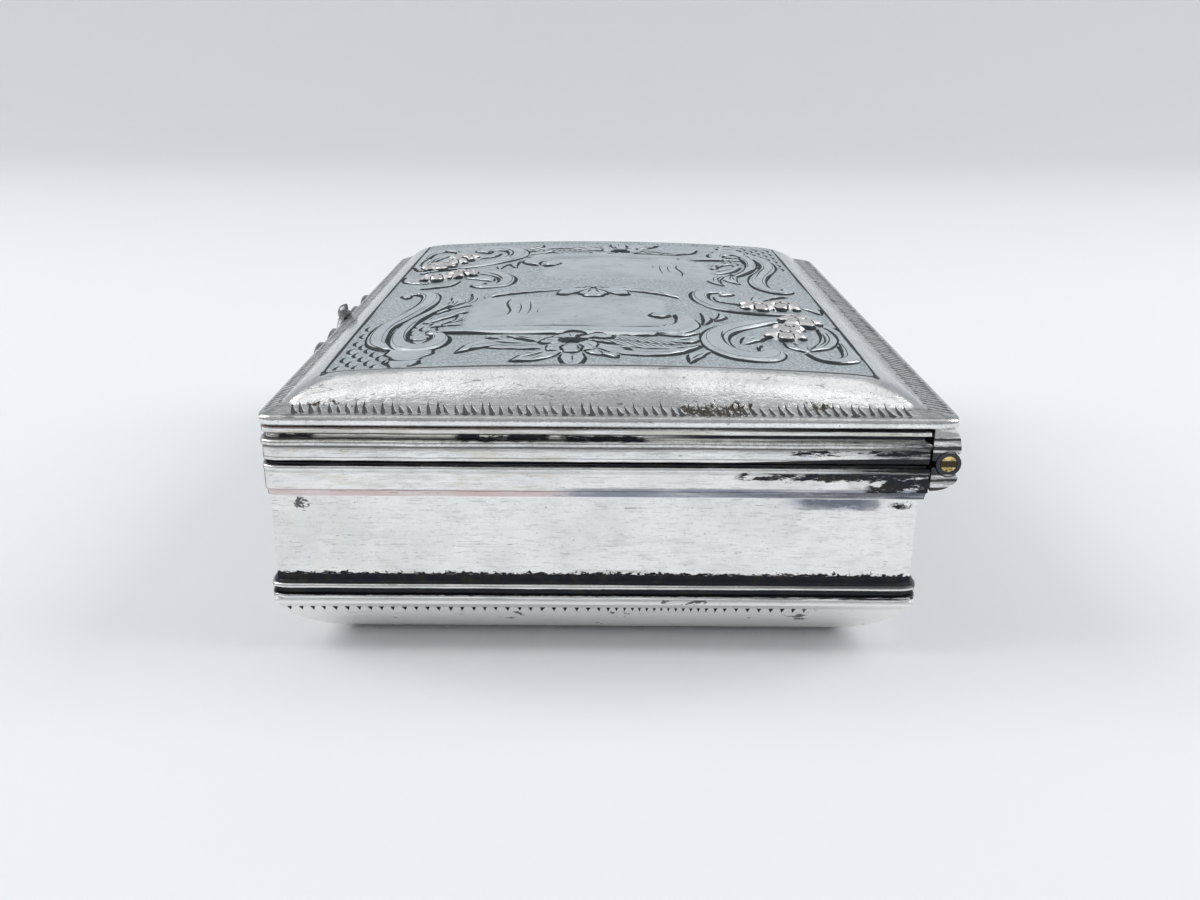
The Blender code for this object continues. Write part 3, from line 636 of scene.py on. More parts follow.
# the lid plate: bright shoulders, satin panel, matted ground and black cut lines
def lidFinish():
    material, shader = newMaterial("lidSilver")
    place = millimetres()
    x, y, z = (axisOf(place, axis) for axis in range(3))
    inEnds = minus(panelEdge["end"], sizeOf(x))
    inSides = maths("MINIMUM", minus(y, panelEdge["left"]), minus(panelEdge["right"], y))
    inPanel = remap(maths("MINIMUM", inEnds, inSides), -0.25, 0.05)
    cut = attribute("cavity")
    ground = product(attribute("ground"), inPanel)
    clouds = noise(place, 0.18, 4)
    specks = noise(place, 2.6, 7, 0.72)
    plain = mixed(remap(clouds, 0.4, 0.66), chased["shoulder"], silver["worn"])
    plain = mixed(product(remap(specks, 0.50, 0.66), 0.35), plain, silver["film"])
    plain = mixed(product(remap(noise(place, 6.0, 4, 0.7), 0.54, 0.66), 0.24), plain, (0.30, 0.31, 0.32))
    # the flange is coloured a darker, blotchy grey: painted shade standing in for the darker view it reflects
    flange = product(band(z, 20.6, 21.22, 0.06), remap(noise(place, 0.9, 5, 0.7), 0.30, 0.62, 0.55, 1.0), 0.85)
    plain = mixed(flange, plain, chased["flange"])
    satin = mixed(product(remap(noise(place, 0.35, 5, 0.62), 0.42, 0.68), 0.6), chased["satin"], (0.56, 0.61, 0.64))
    colour = mixed(inPanel, plain, satin)
    matting = cells(millimetres(everyWay, (0, 0, 31)), 3.6)
    mattingFine = noise(millimetres((0.35, 1, 1), (0, 0, 38)), 5.5, 3, 0.6)
    grit = plus(product(matting, 0.9), product(mattingFine, 0.8))
    gritDark = product(remap(grit, 0.70, 0.90), ground)
    colour = mixed(product(ground, 0.75), colour, chased["ground"])
    colour = mixed(product(gritDark, 0.40), colour, (0.20, 0.24, 0.25))
    colour = mixed(product(attribute("bloom"), 0.7), colour, chased["bloom"])
    grime = product(remap(cut, 0.02, 0.30), 0.25)
    colour = mixed(grime, colour, (0.22, 0.25, 0.27))
    ridges = plus(cut, ragged(0.16, 2.6))
    line = remap(ridges, 0.17, 0.27)
    pits = remap(cells(place, 1.4), 0.09, 0.05)
    pits = product(pits, remap(noise(place, 0.6, 3), 0.50, 0.58), 0.8)
    near = remap(x, 28.0, 33.0)
    rim = plus(minus(plan["halfLength"], x), ragged(1.9, 1.6))
    wander = plus(y, ragged(4.4, 1.0))
    patch = product(band(rim, 0.45, 1.75, 0.15), band(wander, 6.9, 12.2, 0.3))
    patch = strongest(patch, product(band(rim, 1.35, 1.95, 0.08), band(wander, 16.8, 18.7, 0.3)))
    thin = product(band(rim, 1.5, 1.85, 0.08), band(wander, -22.6, -18.0, 0.4), remap(noise(place, 1.2, 4), 0.5, 0.56))
    patch = strongest(patch, thin)
    gappy = remap(noise(place, 2.4, 6, 0.75), 0.43, 0.49)
    patch = product(patch, near, gappy)
    scratches = hairlines((1, 0.10, 1), 0.9, (20, 30, 50), 0.57)
    scratches = strongest(scratches, hairlines((1, 0.10, 1), 1.1, (-30, 15, -35), 0.56))
    cutColour = mixed(inPanel, chased["nick"], chased["line"])
    colour = mixed(strongest(line, pits, product(scratches, 0.5)), colour, cutColour)
    colour = mixed(patch, colour, chased["deposit"])
    feed(colour, shader.inputs["Base Color"])
    dark = strongest(line, patch, pits)
    feed(remap(dark, 0.0, 1.0, 1.0, 0.3), shader.inputs["Metallic"])
    rough = plus(product(specks, 0.14), product(inPanel, 0.22))
    rough = plus(rough, product(ground, 0.10))
    rough = plus(rough, product(dark, 0.25))
    feed(plus(rough, 0.05, True), shader.inputs["Roughness"])
    normal = bump(noise(place, 0.30, 3, 0.45), 0.09)
    beaten = minus(1.0, inPanel)
    crosswiseLines = noise((1, 0.08, 1), 3.2, 4, 0.6)
    normal = bump(product(crosswiseLines, beaten), 0.012, normal)
    hammered = noise((1, 0.7, 1), 3.4, 3, 0.65)
    normal = bump(product(hammered, beaten), 0.030, normal)
    sparkle = noise((1, 0.8, 1), 8.0, 3, 0.7)
    normal = bump(product(sparkle, beaten), 0.009, normal)
    normal = bump(product(grit, ground), 0.05, normal)
    normal = bump(minus(product(specks, 0.4), dark), 0.012, normal)
    feed(normal, shader.inputs["Normal"])
    return material


lidSilver = lidFinish()
print("silver finishes ready")


def metalFinish(name, colour, darker, roughness, darkMiddle=0.0):
    material, shader = newMaterial(name)
    place = millimetres((0.3, 1, 1))
    wear = remap(noise(place, 2.4, 5, 0.65), 0.4, 0.7)
    if darkMiddle > 0:
        plain = millimetres()
        z = minus(heightOf(plain), hingeHeight)
        middle = remap(plus(sizeOf(z), ragged(0.12, 2.0)), darkMiddle, darkMiddle - 0.12)
        wear = strongest(wear, middle)
    feed(mixed(wear, colour, darker), shader.inputs["Base Color"])
    shader.inputs["Metallic"].default_value = 1.0
    feed(remap(wear, 0.0, 1.0, roughness, roughness + 0.2), shader.inputs["Roughness"])
    feed(bump(wear, 0.01), shader.inputs["Normal"])
    return material


plugBrass = metalFinish("plugBrass", (0.80, 0.62, 0.26), (0.07, 0.055, 0.035), 0.22, 0.34)
pinSteel = metalFinish("pinSteel", (0.45, 0.44, 0.43), (0.16, 0.15, 0.15), 0.34)

settle(copyOf("body_wall", "straightWall"), "body_wall", "body", wallSilver)
print("wall done")

strips = {"cutEvery": 0.55, "dentOut": 0.05, "dentUp": 0.035, "endFade": 3.0, "smoothDegrees": 42}
corners = {"reach": 1.7, "wear": 0.75}


# corners worn round in plan: square layers about the corner's centre become round ones
def wearCorners(points, hingeSide=True, back=plan["halfWidth"]):
    centreY = np.where(points[:, 1] > 0, back - corners["reach"], corners["reach"] - plan["halfWidth"])
    centreX = np.sign(points[:, 0]) * (plan["halfLength"] - corners["reach"])
    dx = (points[:, 0] - centreX) * np.sign(points[:, 0])
    dy = (points[:, 1] - centreY) * np.sign(points[:, 1])
    both = (dx > 0) & (dy > 0) & (hingeSide | (points[:, 1] < 0))
    shrink = np.where(both, np.maximum(dx, dy) / np.maximum(np.hypot(dx, dy), 1e-9), 1.0)
    shrink = 1 - corners["wear"] * (1 - shrink)
    points[:, 0] = np.where(both, centreX + (points[:, 0] - centreX) * shrink, points[:, 0])
    points[:, 1] = np.where(both, centreY + (points[:, 1] - centreY) * shrink, points[:, 1])


# soft hand-made unevenness along a moulding, between -1 and 1
def unevenness(distance, seed):
    waves = ((0.21, 1, 0.5), (0.47, 2.3, 0.3), (1.05, 4.1, 0.2))
    return sum(np.sin(distance * pace + seed * shift) * share for pace, shift, share in waves)


def buildStrip(nodeName, newName, body, material, alongX, half, seed):
    obj = copyOf(nodeName, newName)
    editAll(obj)
    bpy.ops.mesh.select_mode(type="EDGE")
    bpy.ops.mesh.select_all(action="DESELECT")
    bpy.ops.object.mode_set(mode="OBJECT")
    axis = 0 if alongX else 1
    for edge in obj.data.edges:
        a, b = (obj.data.vertices[i].co for i in edge.vertices)
        edge.select = abs(a[axis] - b[axis]) > 1.2 * half * mm
    bpy.ops.object.mode_set(mode="EDIT")
    bpy.ops.mesh.subdivide(number_cuts=round(2 * half / strips["cutEvery"]), quadcorner="INNERVERT")
    bpy.ops.object.mode_set(mode="OBJECT")
    points = pointsOf(obj.data)
    along = points[:, axis]
    fade = np.clip((half - np.abs(along)) / strips["endFade"], 0, 1)
    side = 1 - axis
    outward = 1 if points[:, side].mean() > 0 else -1
    middle = (points[:, 2].max() + points[:, 2].min()) / 2
    points[:, side] -= outward * fade * strips["dentOut"] * (1 + unevenness(along, seed)) / 2
    rising = np.where(points[:, 2] > middle, 0.6, 1.0)
    points[:, 2] += fade * strips["dentUp"] * unevenness(along + 7, seed + 1) * rising
    wearCorners(points, nodeName.startswith("foot"))
    movePoints(obj.data, points)
    settle(obj, nodeName, body, material, strips["smoothDegrees"])


stripKinds = (
    ("foot_moulding", "footMoulding", "body", footSilverLong, footSilverShort, 1.0),
    ("mouth_moulding", "mouthMoulding", "body", mouthSilverLong, mouthSilverShort, 2.0),
    ("lid_moulding", "lidMoulding", "lid", lidSideSilverLong, lidSideSilverShort, 3.0),
)
stripSides = (
    ("_front", "Front", True, 0),
    ("_hinge_side", "HingeSide", True, 0.7),
    ("_near_end", "NearEnd", False, 1.9),
    ("_far_end", "FarEnd", False, 3.1),
)
for nodePrefix, newPrefix, body, longFinish, shortFinish, seed in stripKinds:
    for nodeEnd, newEnd, alongX, seedStep in stripSides:
        finish, half = (longFinish, plan["halfLength"]) if alongX else (shortFinish, plan["halfWidth"])
        buildStrip(nodePrefix + nodeEnd, newPrefix + newEnd, body, finish, alongX, half, seed + seedStep)
print("mouldings done")

tubes = {"body": 5, "lid": 4}
hingePieces = [
    (body + "_knuckle_%d" % number, body + "Knuckle%d" % number, body, hingeSilver, "plain_silver")
    for body in tubes
    for number in range(1, tubes[body] + 1)
] + [
    ("body_hinge_bearer", "bodyHingeBearer", "body", hingeSilver, "plain_silver"),
    ("lid_hinge_bearer", "lidHingeBearer", "lid", hingeSilver, "plain_silver"),
    ("hinge_pin", "hingePin", "body", pinSteel, "pin_steel"),
    ("pin_plug_near_end", "pinPlugNearEnd", "body", plugBrass, "plug_brass"),
    ("pin_plug_far_end", "pinPlugFarEnd", "body", plugBrass, "plug_brass"),
]
for nodeName, newName, body, material, slotName in hingePieces:
    settle(copyOf(nodeName, newName), nodeName, body, material)
print("hinge done")

settle(copyOf("inner_bezel", "innerBezel"), "inner_bezel", "body", bezelSilver)


def buildBase():
    obj = copyOf("base_plate", "basePlate")
    points = pointsOf(obj.data)
    wearCorners(points)
    movePoints(obj.data, points)
    settle(obj, "base_plate", "body", baseSilver)


buildBase()
settle(copyOf("thumbpiece", "thumbpieceScroll"), "thumbpiece", "lid", thumbSilver, 50)
print("bezel, base and thumbpiece done")

lid = {
    "edgeTop": 20.74,
    "edgeRadius": 0.32,
    "shoulder": 4.8,
    "flangeWidth": 1.65,
    "flangeRise": 0.45,
    "rise": 1.95,
    "swellPower": 1.9,
    "crown": 0.78,
    "endFall": 0.35,
    "hingeReach": 27.4,
    "overhang": 1.5,
    "hingeFlange": 2.25,
    "noseDrop": 0.86,
    "panelShift": 0.8,
    "seatInset": 1.47,
    "thickness": 0.7,
    "cornerSoftness": 1.5,
    "hipSoftness": 1.2,
    "groundDrop": 0.26,
    "riseShare": 0.75,
    "pixel": 0.05,
    "rimStep": 0.26,
    "rimLengths": (73.4, 54.0),
    "outlineHalf": {"band": 0.22, "dome": 0.22, "leaf": 0.19, "petal": 0.22, "bloom": 0.12, "ledge": 0.20},
    "nearGrid": 0.26,
    "farGrid": 0.34,
    "gridChange": 6.0,
}

# the lid's ornament in millimetres on the plan: name, kind, rise, and the middle line as (y, x, half width)
ornament = (
    ("leftBand", "band", 0.3, [
        (-16.24, 25.39, 0.36), (-18.03, 24.86, 0.71), (-19.21, 23.25, 0.86), (-19.67, 20.93, 0.93),
        (-19.74, 18.43, 0.93), (-19.46, 15.93, 0.93), (-18.67, 13.07, 0.93), (-17.67, 9.86, 1.0),
        (-17.03, 6.29, 1.0), (-17.24, 2.71, 0.93), (-18.56, 0.93, 0.86), (-19.81, 1.82, 0.64), (-19.64, 3.07, 0.36)]),
    ("shellLobeOuter", "dome", 0.22, [
        (-15.92, 28.6, 1.25), (-15.96, 30.1, 1.36), (-16.06, 30.95, 0.86)]),
    ("shellLobeInner", "dome", 0.27, [
        (-15.85, 25.6, 1.9), (-15.85, 27.2, 2.1), (-15.9, 28.15, 1.35)]),
    ("leftFrondA", "leaf", 0.28, [
        (-15.24, 17.43, 0.21), (-13.31, 16.11, 0.86), (-12.6, 14.14, 0.71), (-13.31, 12.36, 0.11)]),
    ("leftFrondB", "leaf", 0.24, [
        (-14.03, 17.0, 0.29), (-12.14, 16.21, 0.79), (-10.46, 15.29, 0.64), (-10.1, 14.14, 0.11)]),
    ("leftFrondC", "leaf", 0.26, [
        (-15.89, 15.57, 0.36), (-14.28, 12.71, 1.0), (-12.6, 10.5, 0.86), (-11.03, 9.86, 0.11)]),
    ("leftFrondD", "leaf", 0.22, [
        (-15.89, 12.0, 0.29), (-14.46, 9.14, 0.79), (-14.03, 6.29, 0.79), (-14.81, 4.14, 0.11)]),
    ("leftFrondE", "leaf", 0.2, [
        (-14.28, 9.86, 0.29), (-12.39, 7.36, 0.86), (-12.14, 4.86, 0.71), (-12.85, 2.71, 0.11)]),
    ("nearReserve", "field", 0.2, [
        (-2.74, 15.57, 7.68), (-2.74, 8.79, 7.68)]),
    ("leftScrollBed", "dome", 0.16, [
        (-15.75, 22.9, 1.9), (-15.45, 22.1, 1.8)]),
    ("leftScroll", "band", 0.36, [
        (-14.6, 8.2, 0.21), (-16.2, 11.8, 0.45), (-17.3, 15.4, 0.6), (-17.75, 19.0, 0.72), (-17.5, 22.2, 0.86),
        (-16.7, 24.4, 1.1), (-15.5, 25.3, 1.3), (-14.3, 24.5, 1.15), (-13.8, 22.7, 0.95), (-14.1, 21.0, 0.7),
        (-15.0, 20.3, 0.4)]),
    ("leftScrollEye", "dome", 0.4, [
        (-15.75, 22.3, 0.62), (-15.5, 22.1, 0.6)]),
    ("nearLedge", "ledge", 0.44, [
        (-14.2, 19.9, 0.35), (-9.81, 19.7, 1.2), (-5.17, 19.8, 1.45), (-1.6, 19.95, 1.5), (1.97, 20.15, 1.55),
        (4.83, 20.1, 1.6), (6.97, 19.2, 1.55), (8.35, 17.3, 1.3), (8.4, 15.2, 0.9), (7.61, 13.2, 0.2)]),
    ("ledgeKnob", "dome", 0.44, [
        (5.83, 14.14, 0.79), (6.19, 13.61, 0.86)]),
    ("longLeaf", "leaf", 0.24, [
        (-3.39, 25.5, 0.71), (-5.71, 25.21, 1.43), (-8.03, 24.68, 1.64), (-10.1, 24.86, 1.14), (-11.89, 27.43, 0.07)]),
    ("longLeafLobe", "leaf", 0.22, [
        (-4.1, 24.07, 0.64), (-6.06, 23.36, 0.93), (-8.03, 22.64, 0.71), (-9.67, 22.36, 0.07)]),
    ("upperLeafLeft", "leaf", 0.24, [
        (-3.21, 26.29, 0.71), (-4.46, 28.07, 1.36), (-5.71, 29.43, 1.14), (-7.03, 30.36, 0.11)]),
    ("upperLeafRight", "leaf", 0.26, [
        (-0.9, 26.0, 0.5), (0.3, 27.3, 1.15), (1.2, 28.0, 1.0), (1.75, 29.4, 0.11)]),
    ("standingLeaf", "leaf", 0.26, [
        (-1.92, 27.3, 0.8), (-1.9, 29.4, 1.12), (-1.85, 31.0, 0.86), (-1.8, 32.04, 0.1)]),
    ("rightLeafLower", "leaf", 0.2, [
        (-0.17, 23.25, 0.64), (2.33, 23.5, 1.79), (4.83, 24.5, 1.79), (7.33, 25.21, 0.93), (9.26, 24.68, 0.11)]),
    ("rightLeafUpper", "leaf", 0.27, [
        (-0.24, 25.04, 0.5), (1.97, 26.71, 1.29), (4.19, 27.57, 1.07), (6.69, 27.14, 0.79), (9.33, 24.93, 0.07)]),
    ("rightFrondA", "leaf", 0.26, [
        (9.26, 22.0, 0.36), (7.97, 23.25, 0.93), (6.33, 23.93, 0.14)]),
    ("rightFrondB", "leaf", 0.24, [
        (9.11, 20.29, 0.29), (7.51, 21.36, 0.54), (5.54, 21.29, 0.11)]),
    ("leafBud", "leaf", 0.22, [
        (9.69, 26.57, 0.21), (8.47, 28.14, 0.71), (7.83, 30.57, 0.07)]),
    ("lowLeafLeft", "leaf", 0.24, [
        (-3.0, 23.5, 0.5), (-4.9, 23.3, 0.95), (-6.4, 22.8, 0.75), (-7.9, 22.0, 0.11)]),
    ("petalBack", "petal", 0.3, [
        (-3.2, 22.5, 0.7), (-2.05, 22.1, 1.15), (-0.9, 22.4, 0.8)]),
    ("petalBud", "petal", 0.32, [
        (-1.1, 22.7, 0.5), (0.1, 22.3, 0.85), (0.85, 22.5, 0.8)]),
    ("petalLeft", "petal", 0.34, [
        (-2.7, 24.3, 0.6), (-3.5, 24.0, 1.15), (-4.3, 24.5, 0.64)]),
    ("petalRight", "petal", 0.36, [
        (-1.5, 24.1, 0.6), (-0.8, 25.0, 1.05), (-0.72, 26.5, 0.75)]),
    ("petalLowLeft", "petal", 0.36, [
        (-2.7, 25.0, 0.45), (-3.35, 26.0, 0.86), (-3.7, 27.0, 0.55)]),
    ("petalFront", "petal", 0.4, [
        (-2.05, 25.3, 0.6), (-2.02, 26.5, 0.98), (-2.0, 27.5, 0.72)]),
    ("flowerHeart", "dome", 0.5, [
        (-2.5, 24.0, 0.66), (-1.65, 24.0, 0.66)]),
    ("rightOuterBand", "band", 0.28, [
        (18.33, 25.64, 0.21), (19.4, 27.43, 0.64), (20.76, 27.64, 0.79), (22.04, 26.29, 0.93), (22.51, 23.79, 1.0),
        (22.44, 20.57, 0.93), (22.19, 17.0, 0.79), (21.47, 13.0, 0.18)]),
    ("rightInnerLeaf", "leaf", 0.24, [
        (18.47, 24.86, 0.14), (20.04, 23.0, 0.71), (21.11, 20.21, 0.79), (21.26, 17.0, 0.64), (20.76, 13.61, 0.11)]),
    ("rightPetalLeaf", "leaf", 0.28, [
        (17.26, 21.57, 0.57), (17.69, 23.71, 0.96), (18.61, 25.64, 0.11)]),
    ("scrollSecond", "band", 0.3, [
        (19.83, 10.75, 0.21), (15.72, 10.57, 0.86), (12.76, 9.43, 1.07), (11.33, 7.29, 1.0), (10.61, 4.68, 0.93),
        (10.97, 1.82, 0.93), (12.69, 0.93, 0.86), (13.76, 2.0, 0.64), (13.04, 2.89, 0.29)]),
    ("rightScroll", "band", 0.36, [
        (20.9, 11.21, 0.29), (16.97, 13.71, 1.0), (14.47, 15.64, 1.21), (12.33, 17.79, 1.29), (10.97, 20.21, 1.29),
        (10.54, 22.71, 1.29), (10.97, 25.5, 1.29), (12.4, 27.5, 1.5), (14.19, 27.64, 1.64), (15.11, 26.21, 1.21),
        (14.47, 24.43, 0.43)]),
    ("innerCurlLeaf", "leaf", 0.24, [
        (12.9, 23.71, 0.21), (14.04, 21.57, 0.93), (15.76, 19.93, 0.29)]),
    ("sideFrondA", "leaf", 0.22, [
        (10.04, 17.0, 0.14), (10.54, 14.5, 0.46), (10.11, 11.82, 0.07)]),
    ("sideFrondB", "leaf", 0.22, [
        (11.11, 15.21, 0.14), (12.04, 13.43, 0.46), (11.97, 11.46, 0.07)]),
    ("lowFrondA", "leaf", 0.26, [
        (14.83, 6.64, 0.57), (13.04, 5.57, 0.93), (12.15, 3.79, 0.14)]),
    ("lowFrondB", "leaf", 0.26, [
        (19.83, 4.86, 0.5), (21.61, 6.64, 0.86), (22.33, 9.14, 0.11)]),
    ("lowFrondC", "leaf", 0.24, [
        (16.26, 4.86, 0.5), (17.33, 2.71, 0.93), (19.83, 1.29, 0.14)]),
    ("middleShell", "petal", 0.34, [
        (-0.35, 0.93, 1.07), (-0.35, 3.43, 1.79), (-0.35, 4.68, 1.07)]),
    ("middleShellLeft", "petal", 0.28, [
        (-1.06, 0.93, 0.64), (-2.74, 2.71, 1.21), (-3.39, 3.79, 0.71)]),
    ("middleShellRight", "petal", 0.28, [
        (0.36, 0.93, 0.64), (2.04, 2.71, 1.21), (2.69, 3.79, 0.71)]),
    ("middleWingLeft", "leaf", 0.26, [
        (-1.6, 0.21, 0.57), (-5.17, 1.29, 1.21), (-8.74, 2.71, 1.0), (-10.89, 4.86, 0.11)]),
    ("middleWingRight", "leaf", 0.26, [
        (0.9, 0.21, 0.57), (4.11, 1.29, 1.21), (6.97, 3.07, 0.93), (8.58, 5.57, 0.11)]),
)
heart = (-2.08, 24.0)
blossoms = (
    ("blossomA", (17.11, 20.07), 2.0, 5, 20, 0.85),
    ("blossomB", (17.83, 17.43), 1.64, 5, 60, 0.75),
    ("blossomC", (19.4, 14.14), 2.14, 6, 10, 0.9),
    ("blossomD", (15.97, 8.43), 2.0, 5, 0, 0.85),
    ("blossomE", (18.83, 7.07), 1.93, 5, 40, 0.8),
)
engraved = (
    ("petalFront", [(-1.5, 27.6), (-1.45, 26.6), (-1.7, 25.6)], 0.10),
    ("petalLowLeft", [(-3.9, 27.0), (-3.3, 26.2), (-2.9, 25.5)], 0.07),
    ("petalLeft", [(-4.6, 24.4), (-3.9, 24.1), (-3.2, 24.2)], 0.07),
    ("petalLeft", [(-4.2, 23.6), (-3.6, 23.6), (-3.1, 23.9)], 0.05),
    ("petalRight", [(-0.2, 26.5), (-0.6, 25.6), (-1.1, 25.0)], 0.07),
    ("petalBack", [(-2.4, 21.6), (-2.2, 22.4), (-2.15, 23.0)], 0.05),
    ("petalBack", [(-1.5, 21.7), (-1.7, 22.5), (-1.9, 23.0)], 0.05),
    ("petalBud", [(0.9, 22.3), (0.1, 22.5), (-0.5, 23.0)], 0.06),
    ("longLeaf", [(-11.24, 26.43), (-8.74, 25.5), (-6.24, 25.64), (-4.39, 25.36)], 0.11),
    ("longLeaf", [(-9.46, 23.57), (-8.03, 24.43), (-6.24, 24.79)], 0.14),
    ("longLeafLobe", [(-8.74, 22.71), (-7.03, 23.21), (-5.53, 23.57)], 0.09),
    ("upperLeafLeft", [(-6.31, 29.64), (-5.17, 28.57), (-3.89, 27.14)], 0.11),
    ("upperLeafLeft", [(-6.39, 28.07), (-5.53, 28.21), (-4.96, 27.93)], 0.21),
    ("upperLeafLeft", [(-5.31, 30.0), (-4.74, 29.29), (-4.24, 28.93)], 0.11),
    ("upperLeafRight", [(0.83, 29.07), (0.47, 27.79), (-0.1, 26.43)], 0.11),
    ("rightLeafUpper", [(2.19, 26.29), (2.76, 26.86), (3.33, 27.64)], 0.29),
    ("rightLeafUpper", [(0.61, 25.21), (2.69, 26.43), (4.83, 27.14), (6.97, 26.86)], 0.09),
    ("rightLeafLower", [(0.9, 23.5), (3.4, 24.14), (5.9, 24.86), (8.04, 24.93)], 0.11),
    ("rightFrondA", [(8.76, 22.43), (7.69, 23.21), (6.83, 23.64)], 0.11),
    ("lowLeafLeft", [(-6.8, 22.6), (-5.6, 23.1), (-4.1, 23.5)], 0.11),
    ("leafBud", [(7.97, 29.64), (8.54, 28.43), (9.26, 27.29)], 0.11),
    ("leftScroll", [(-16.9, 21.4), (-16.6, 23.2), (-15.8, 24.1), (-14.9, 23.6), (-14.6, 22.4)], 0.12),
    ("leftBand", [(-19.17, 17.71), (-18.96, 15.57), (-18.1, 12.71), (-17.24, 9.14), (-16.74, 6.64)], 0.07),
    ("rightScroll", [(11.9, 25.21), (12.83, 26.07), (13.97, 25.64), (14.4, 24.43), (14.04, 23.29)], 0.25),
    ("rightScroll", [(11.54, 19.14), (11.26, 21.64), (11.47, 24.5), (12.26, 26.07)], 0.11),
    ("rightScroll", [(14.47, 16.29), (16.83, 14.14), (19.47, 12.07)], 0.11),
    ("rightOuterBand", [(19.69, 27.64), (20.26, 27.14), (20.61, 26.64)], 0.14),
    ("rightOuterBand", [(21.69, 24.14), (21.76, 20.93), (21.61, 17.36)], 0.09),
    ("rightInnerLeaf", [(19.47, 23.29), (20.61, 20.93), (20.9, 17.71)], 0.11),
    ("rightPetalLeaf", [(17.4, 22.0), (17.9, 23.57)], 0.11),
    ("scrollSecond", [(15.9, 10.14), (13.26, 9.07), (11.9, 7.07), (11.19, 4.68)], 0.11),
    ("leftFrondA", [(-14.46, 16.93), (-13.31, 15.5), (-13.17, 13.79)], 0.14),
    ("leftFrondB", [(-13.03, 16.5), (-11.6, 15.79), (-10.67, 15.0)], 0.11),
    ("leftFrondC", [(-15.17, 14.29), (-13.74, 12.0), (-11.96, 10.29)], 0.12),
    ("leftFrondD", [(-15.24, 10.93), (-14.46, 8.43), (-14.46, 5.93)], 0.11),
    ("leftFrondE", [(-13.53, 8.79), (-12.67, 6.64), (-12.6, 4.14)], 0.11),
    ("nearReserve", [(-8.53, 14.14), (-8.31, 12.0), (-8.81, 8.79), (-8.6, 6.29)], 0.14),
    ("nearReserve", [(-7.46, 13.79), (-7.31, 10.93), (-7.6, 8.43)], 0.07),
    ("nearReserve", [(-6.6, 14.14), (-6.39, 11.29), (-6.6, 7.36)], 0.07),
    ("nearReserve", [(-5.67, 13.43), (-5.6, 11.29)], 0.05),
    ("nearReserve", [(-4.46, 18.57), (0.54, 18.71), (4.83, 18.71), (6.44, 17.29), (7.15, 14.86)], 0.11),
    ("middleWingLeft", [(-9.81, 3.79), (-6.6, 2.0), (-3.39, 1.0)], 0.11),
    ("middleWingRight", [(7.69, 4.43), (5.54, 2.29), (2.33, 0.86)], 0.11),
    ("middleShell", [(-0.89, 4.14), (-0.6, 2.0)], 0.11),
    ("middleShell", [(0.19, 4.14), (-0.1, 2.0)], 0.11),
)

sheetRows = int(2 * plan["halfLength"] / lid["pixel"]) + 1
sheetCols = int((2 * plan["halfWidth"] + lid["hingeFlange"]) / lid["pixel"]) + 1
sheetY, sheetX = np.meshgrid(
    np.arange(sheetCols) * lid["pixel"] - plan["halfWidth"], np.arange(sheetRows) * lid["pixel"] - plan["halfLength"]
)
relief = np.zeros(sheetX.shape)
groove = np.zeros(sheetX.shape)
cavity = np.zeros(sheetX.shape)
owner = np.zeros(sheetX.shape, dtype=int)
strokes = []


# distances in from the ends and from the sides
def edgeGaps(x, y):
    slope = 1 + (lid["overhang"] - lid["panelShift"]) / lid["shoulder"]
    hingeSide = (plan["halfWidth"] + lid["overhang"] - y) / slope
    foot, r = lid["flangeWidth"], lid["edgeRadius"]
    wide = (plan["halfWidth"] + lid["hingeFlange"] - r - y) / (flangeEnd() - r) * (foot - r) + r
    sides = np.minimum(y + plan["halfWidth"], np.where(hingeSide < foot, wide, hingeSide))
    return plan["halfLength"] - np.abs(x), sides


# width of the flange on the hinge side, from the plate's edge to the pillow's foot
def flangeEnd():
    slope = 1 + (lid["overhang"] - lid["panelShift"]) / lid["shoulder"]
    return lid["hingeFlange"] - lid["overhang"] + lid["flangeWidth"] * slope


# the pillow's corners are rounded in plan and its hips worn soft
def softened(ends, sides):
    low = np.minimum(ends, sides)
    soft = lid["cornerSoftness"] + np.clip((low - lid["flangeWidth"]) * 0.6, 0, lid["hipSoftness"])
    gap = np.maximum(soft - np.abs(ends - sides), 0)
    return low - gap * gap / (4 * soft)


# height of the pillow over the foot of its shoulder
def pillowRise(x, y, share):
    across = np.maximum(1 - (y / lid["hingeReach"]) ** 2, 0)
    crown = 1 + lid["crown"] * across * (1 - lid["endFall"] * (x / plan["halfLength"]) ** 2)
    return (lid["rise"] * crown - lid["flangeRise"]) * (1 - (1 - np.clip(share, 0, 1)) ** lid["swellPower"])


def lidSurface(x, y):
    ends, sides = edgeGaps(x, y)
    foot = lid["flangeWidth"]
    slant = np.clip((np.minimum(ends, sides) - lid["edgeRadius"]) / (foot - lid["edgeRadius"]), 0, 1)
    share = (softened(ends, sides) - foot) / (lid["shoulder"] - foot)
    return lid["edgeTop"] + lid["flangeRise"] * slant + pillowRise(x, y, share)


def easeIn(value):
    value = np.clip(value, 0, 1)
    return value * value * (3 - 2 * value)


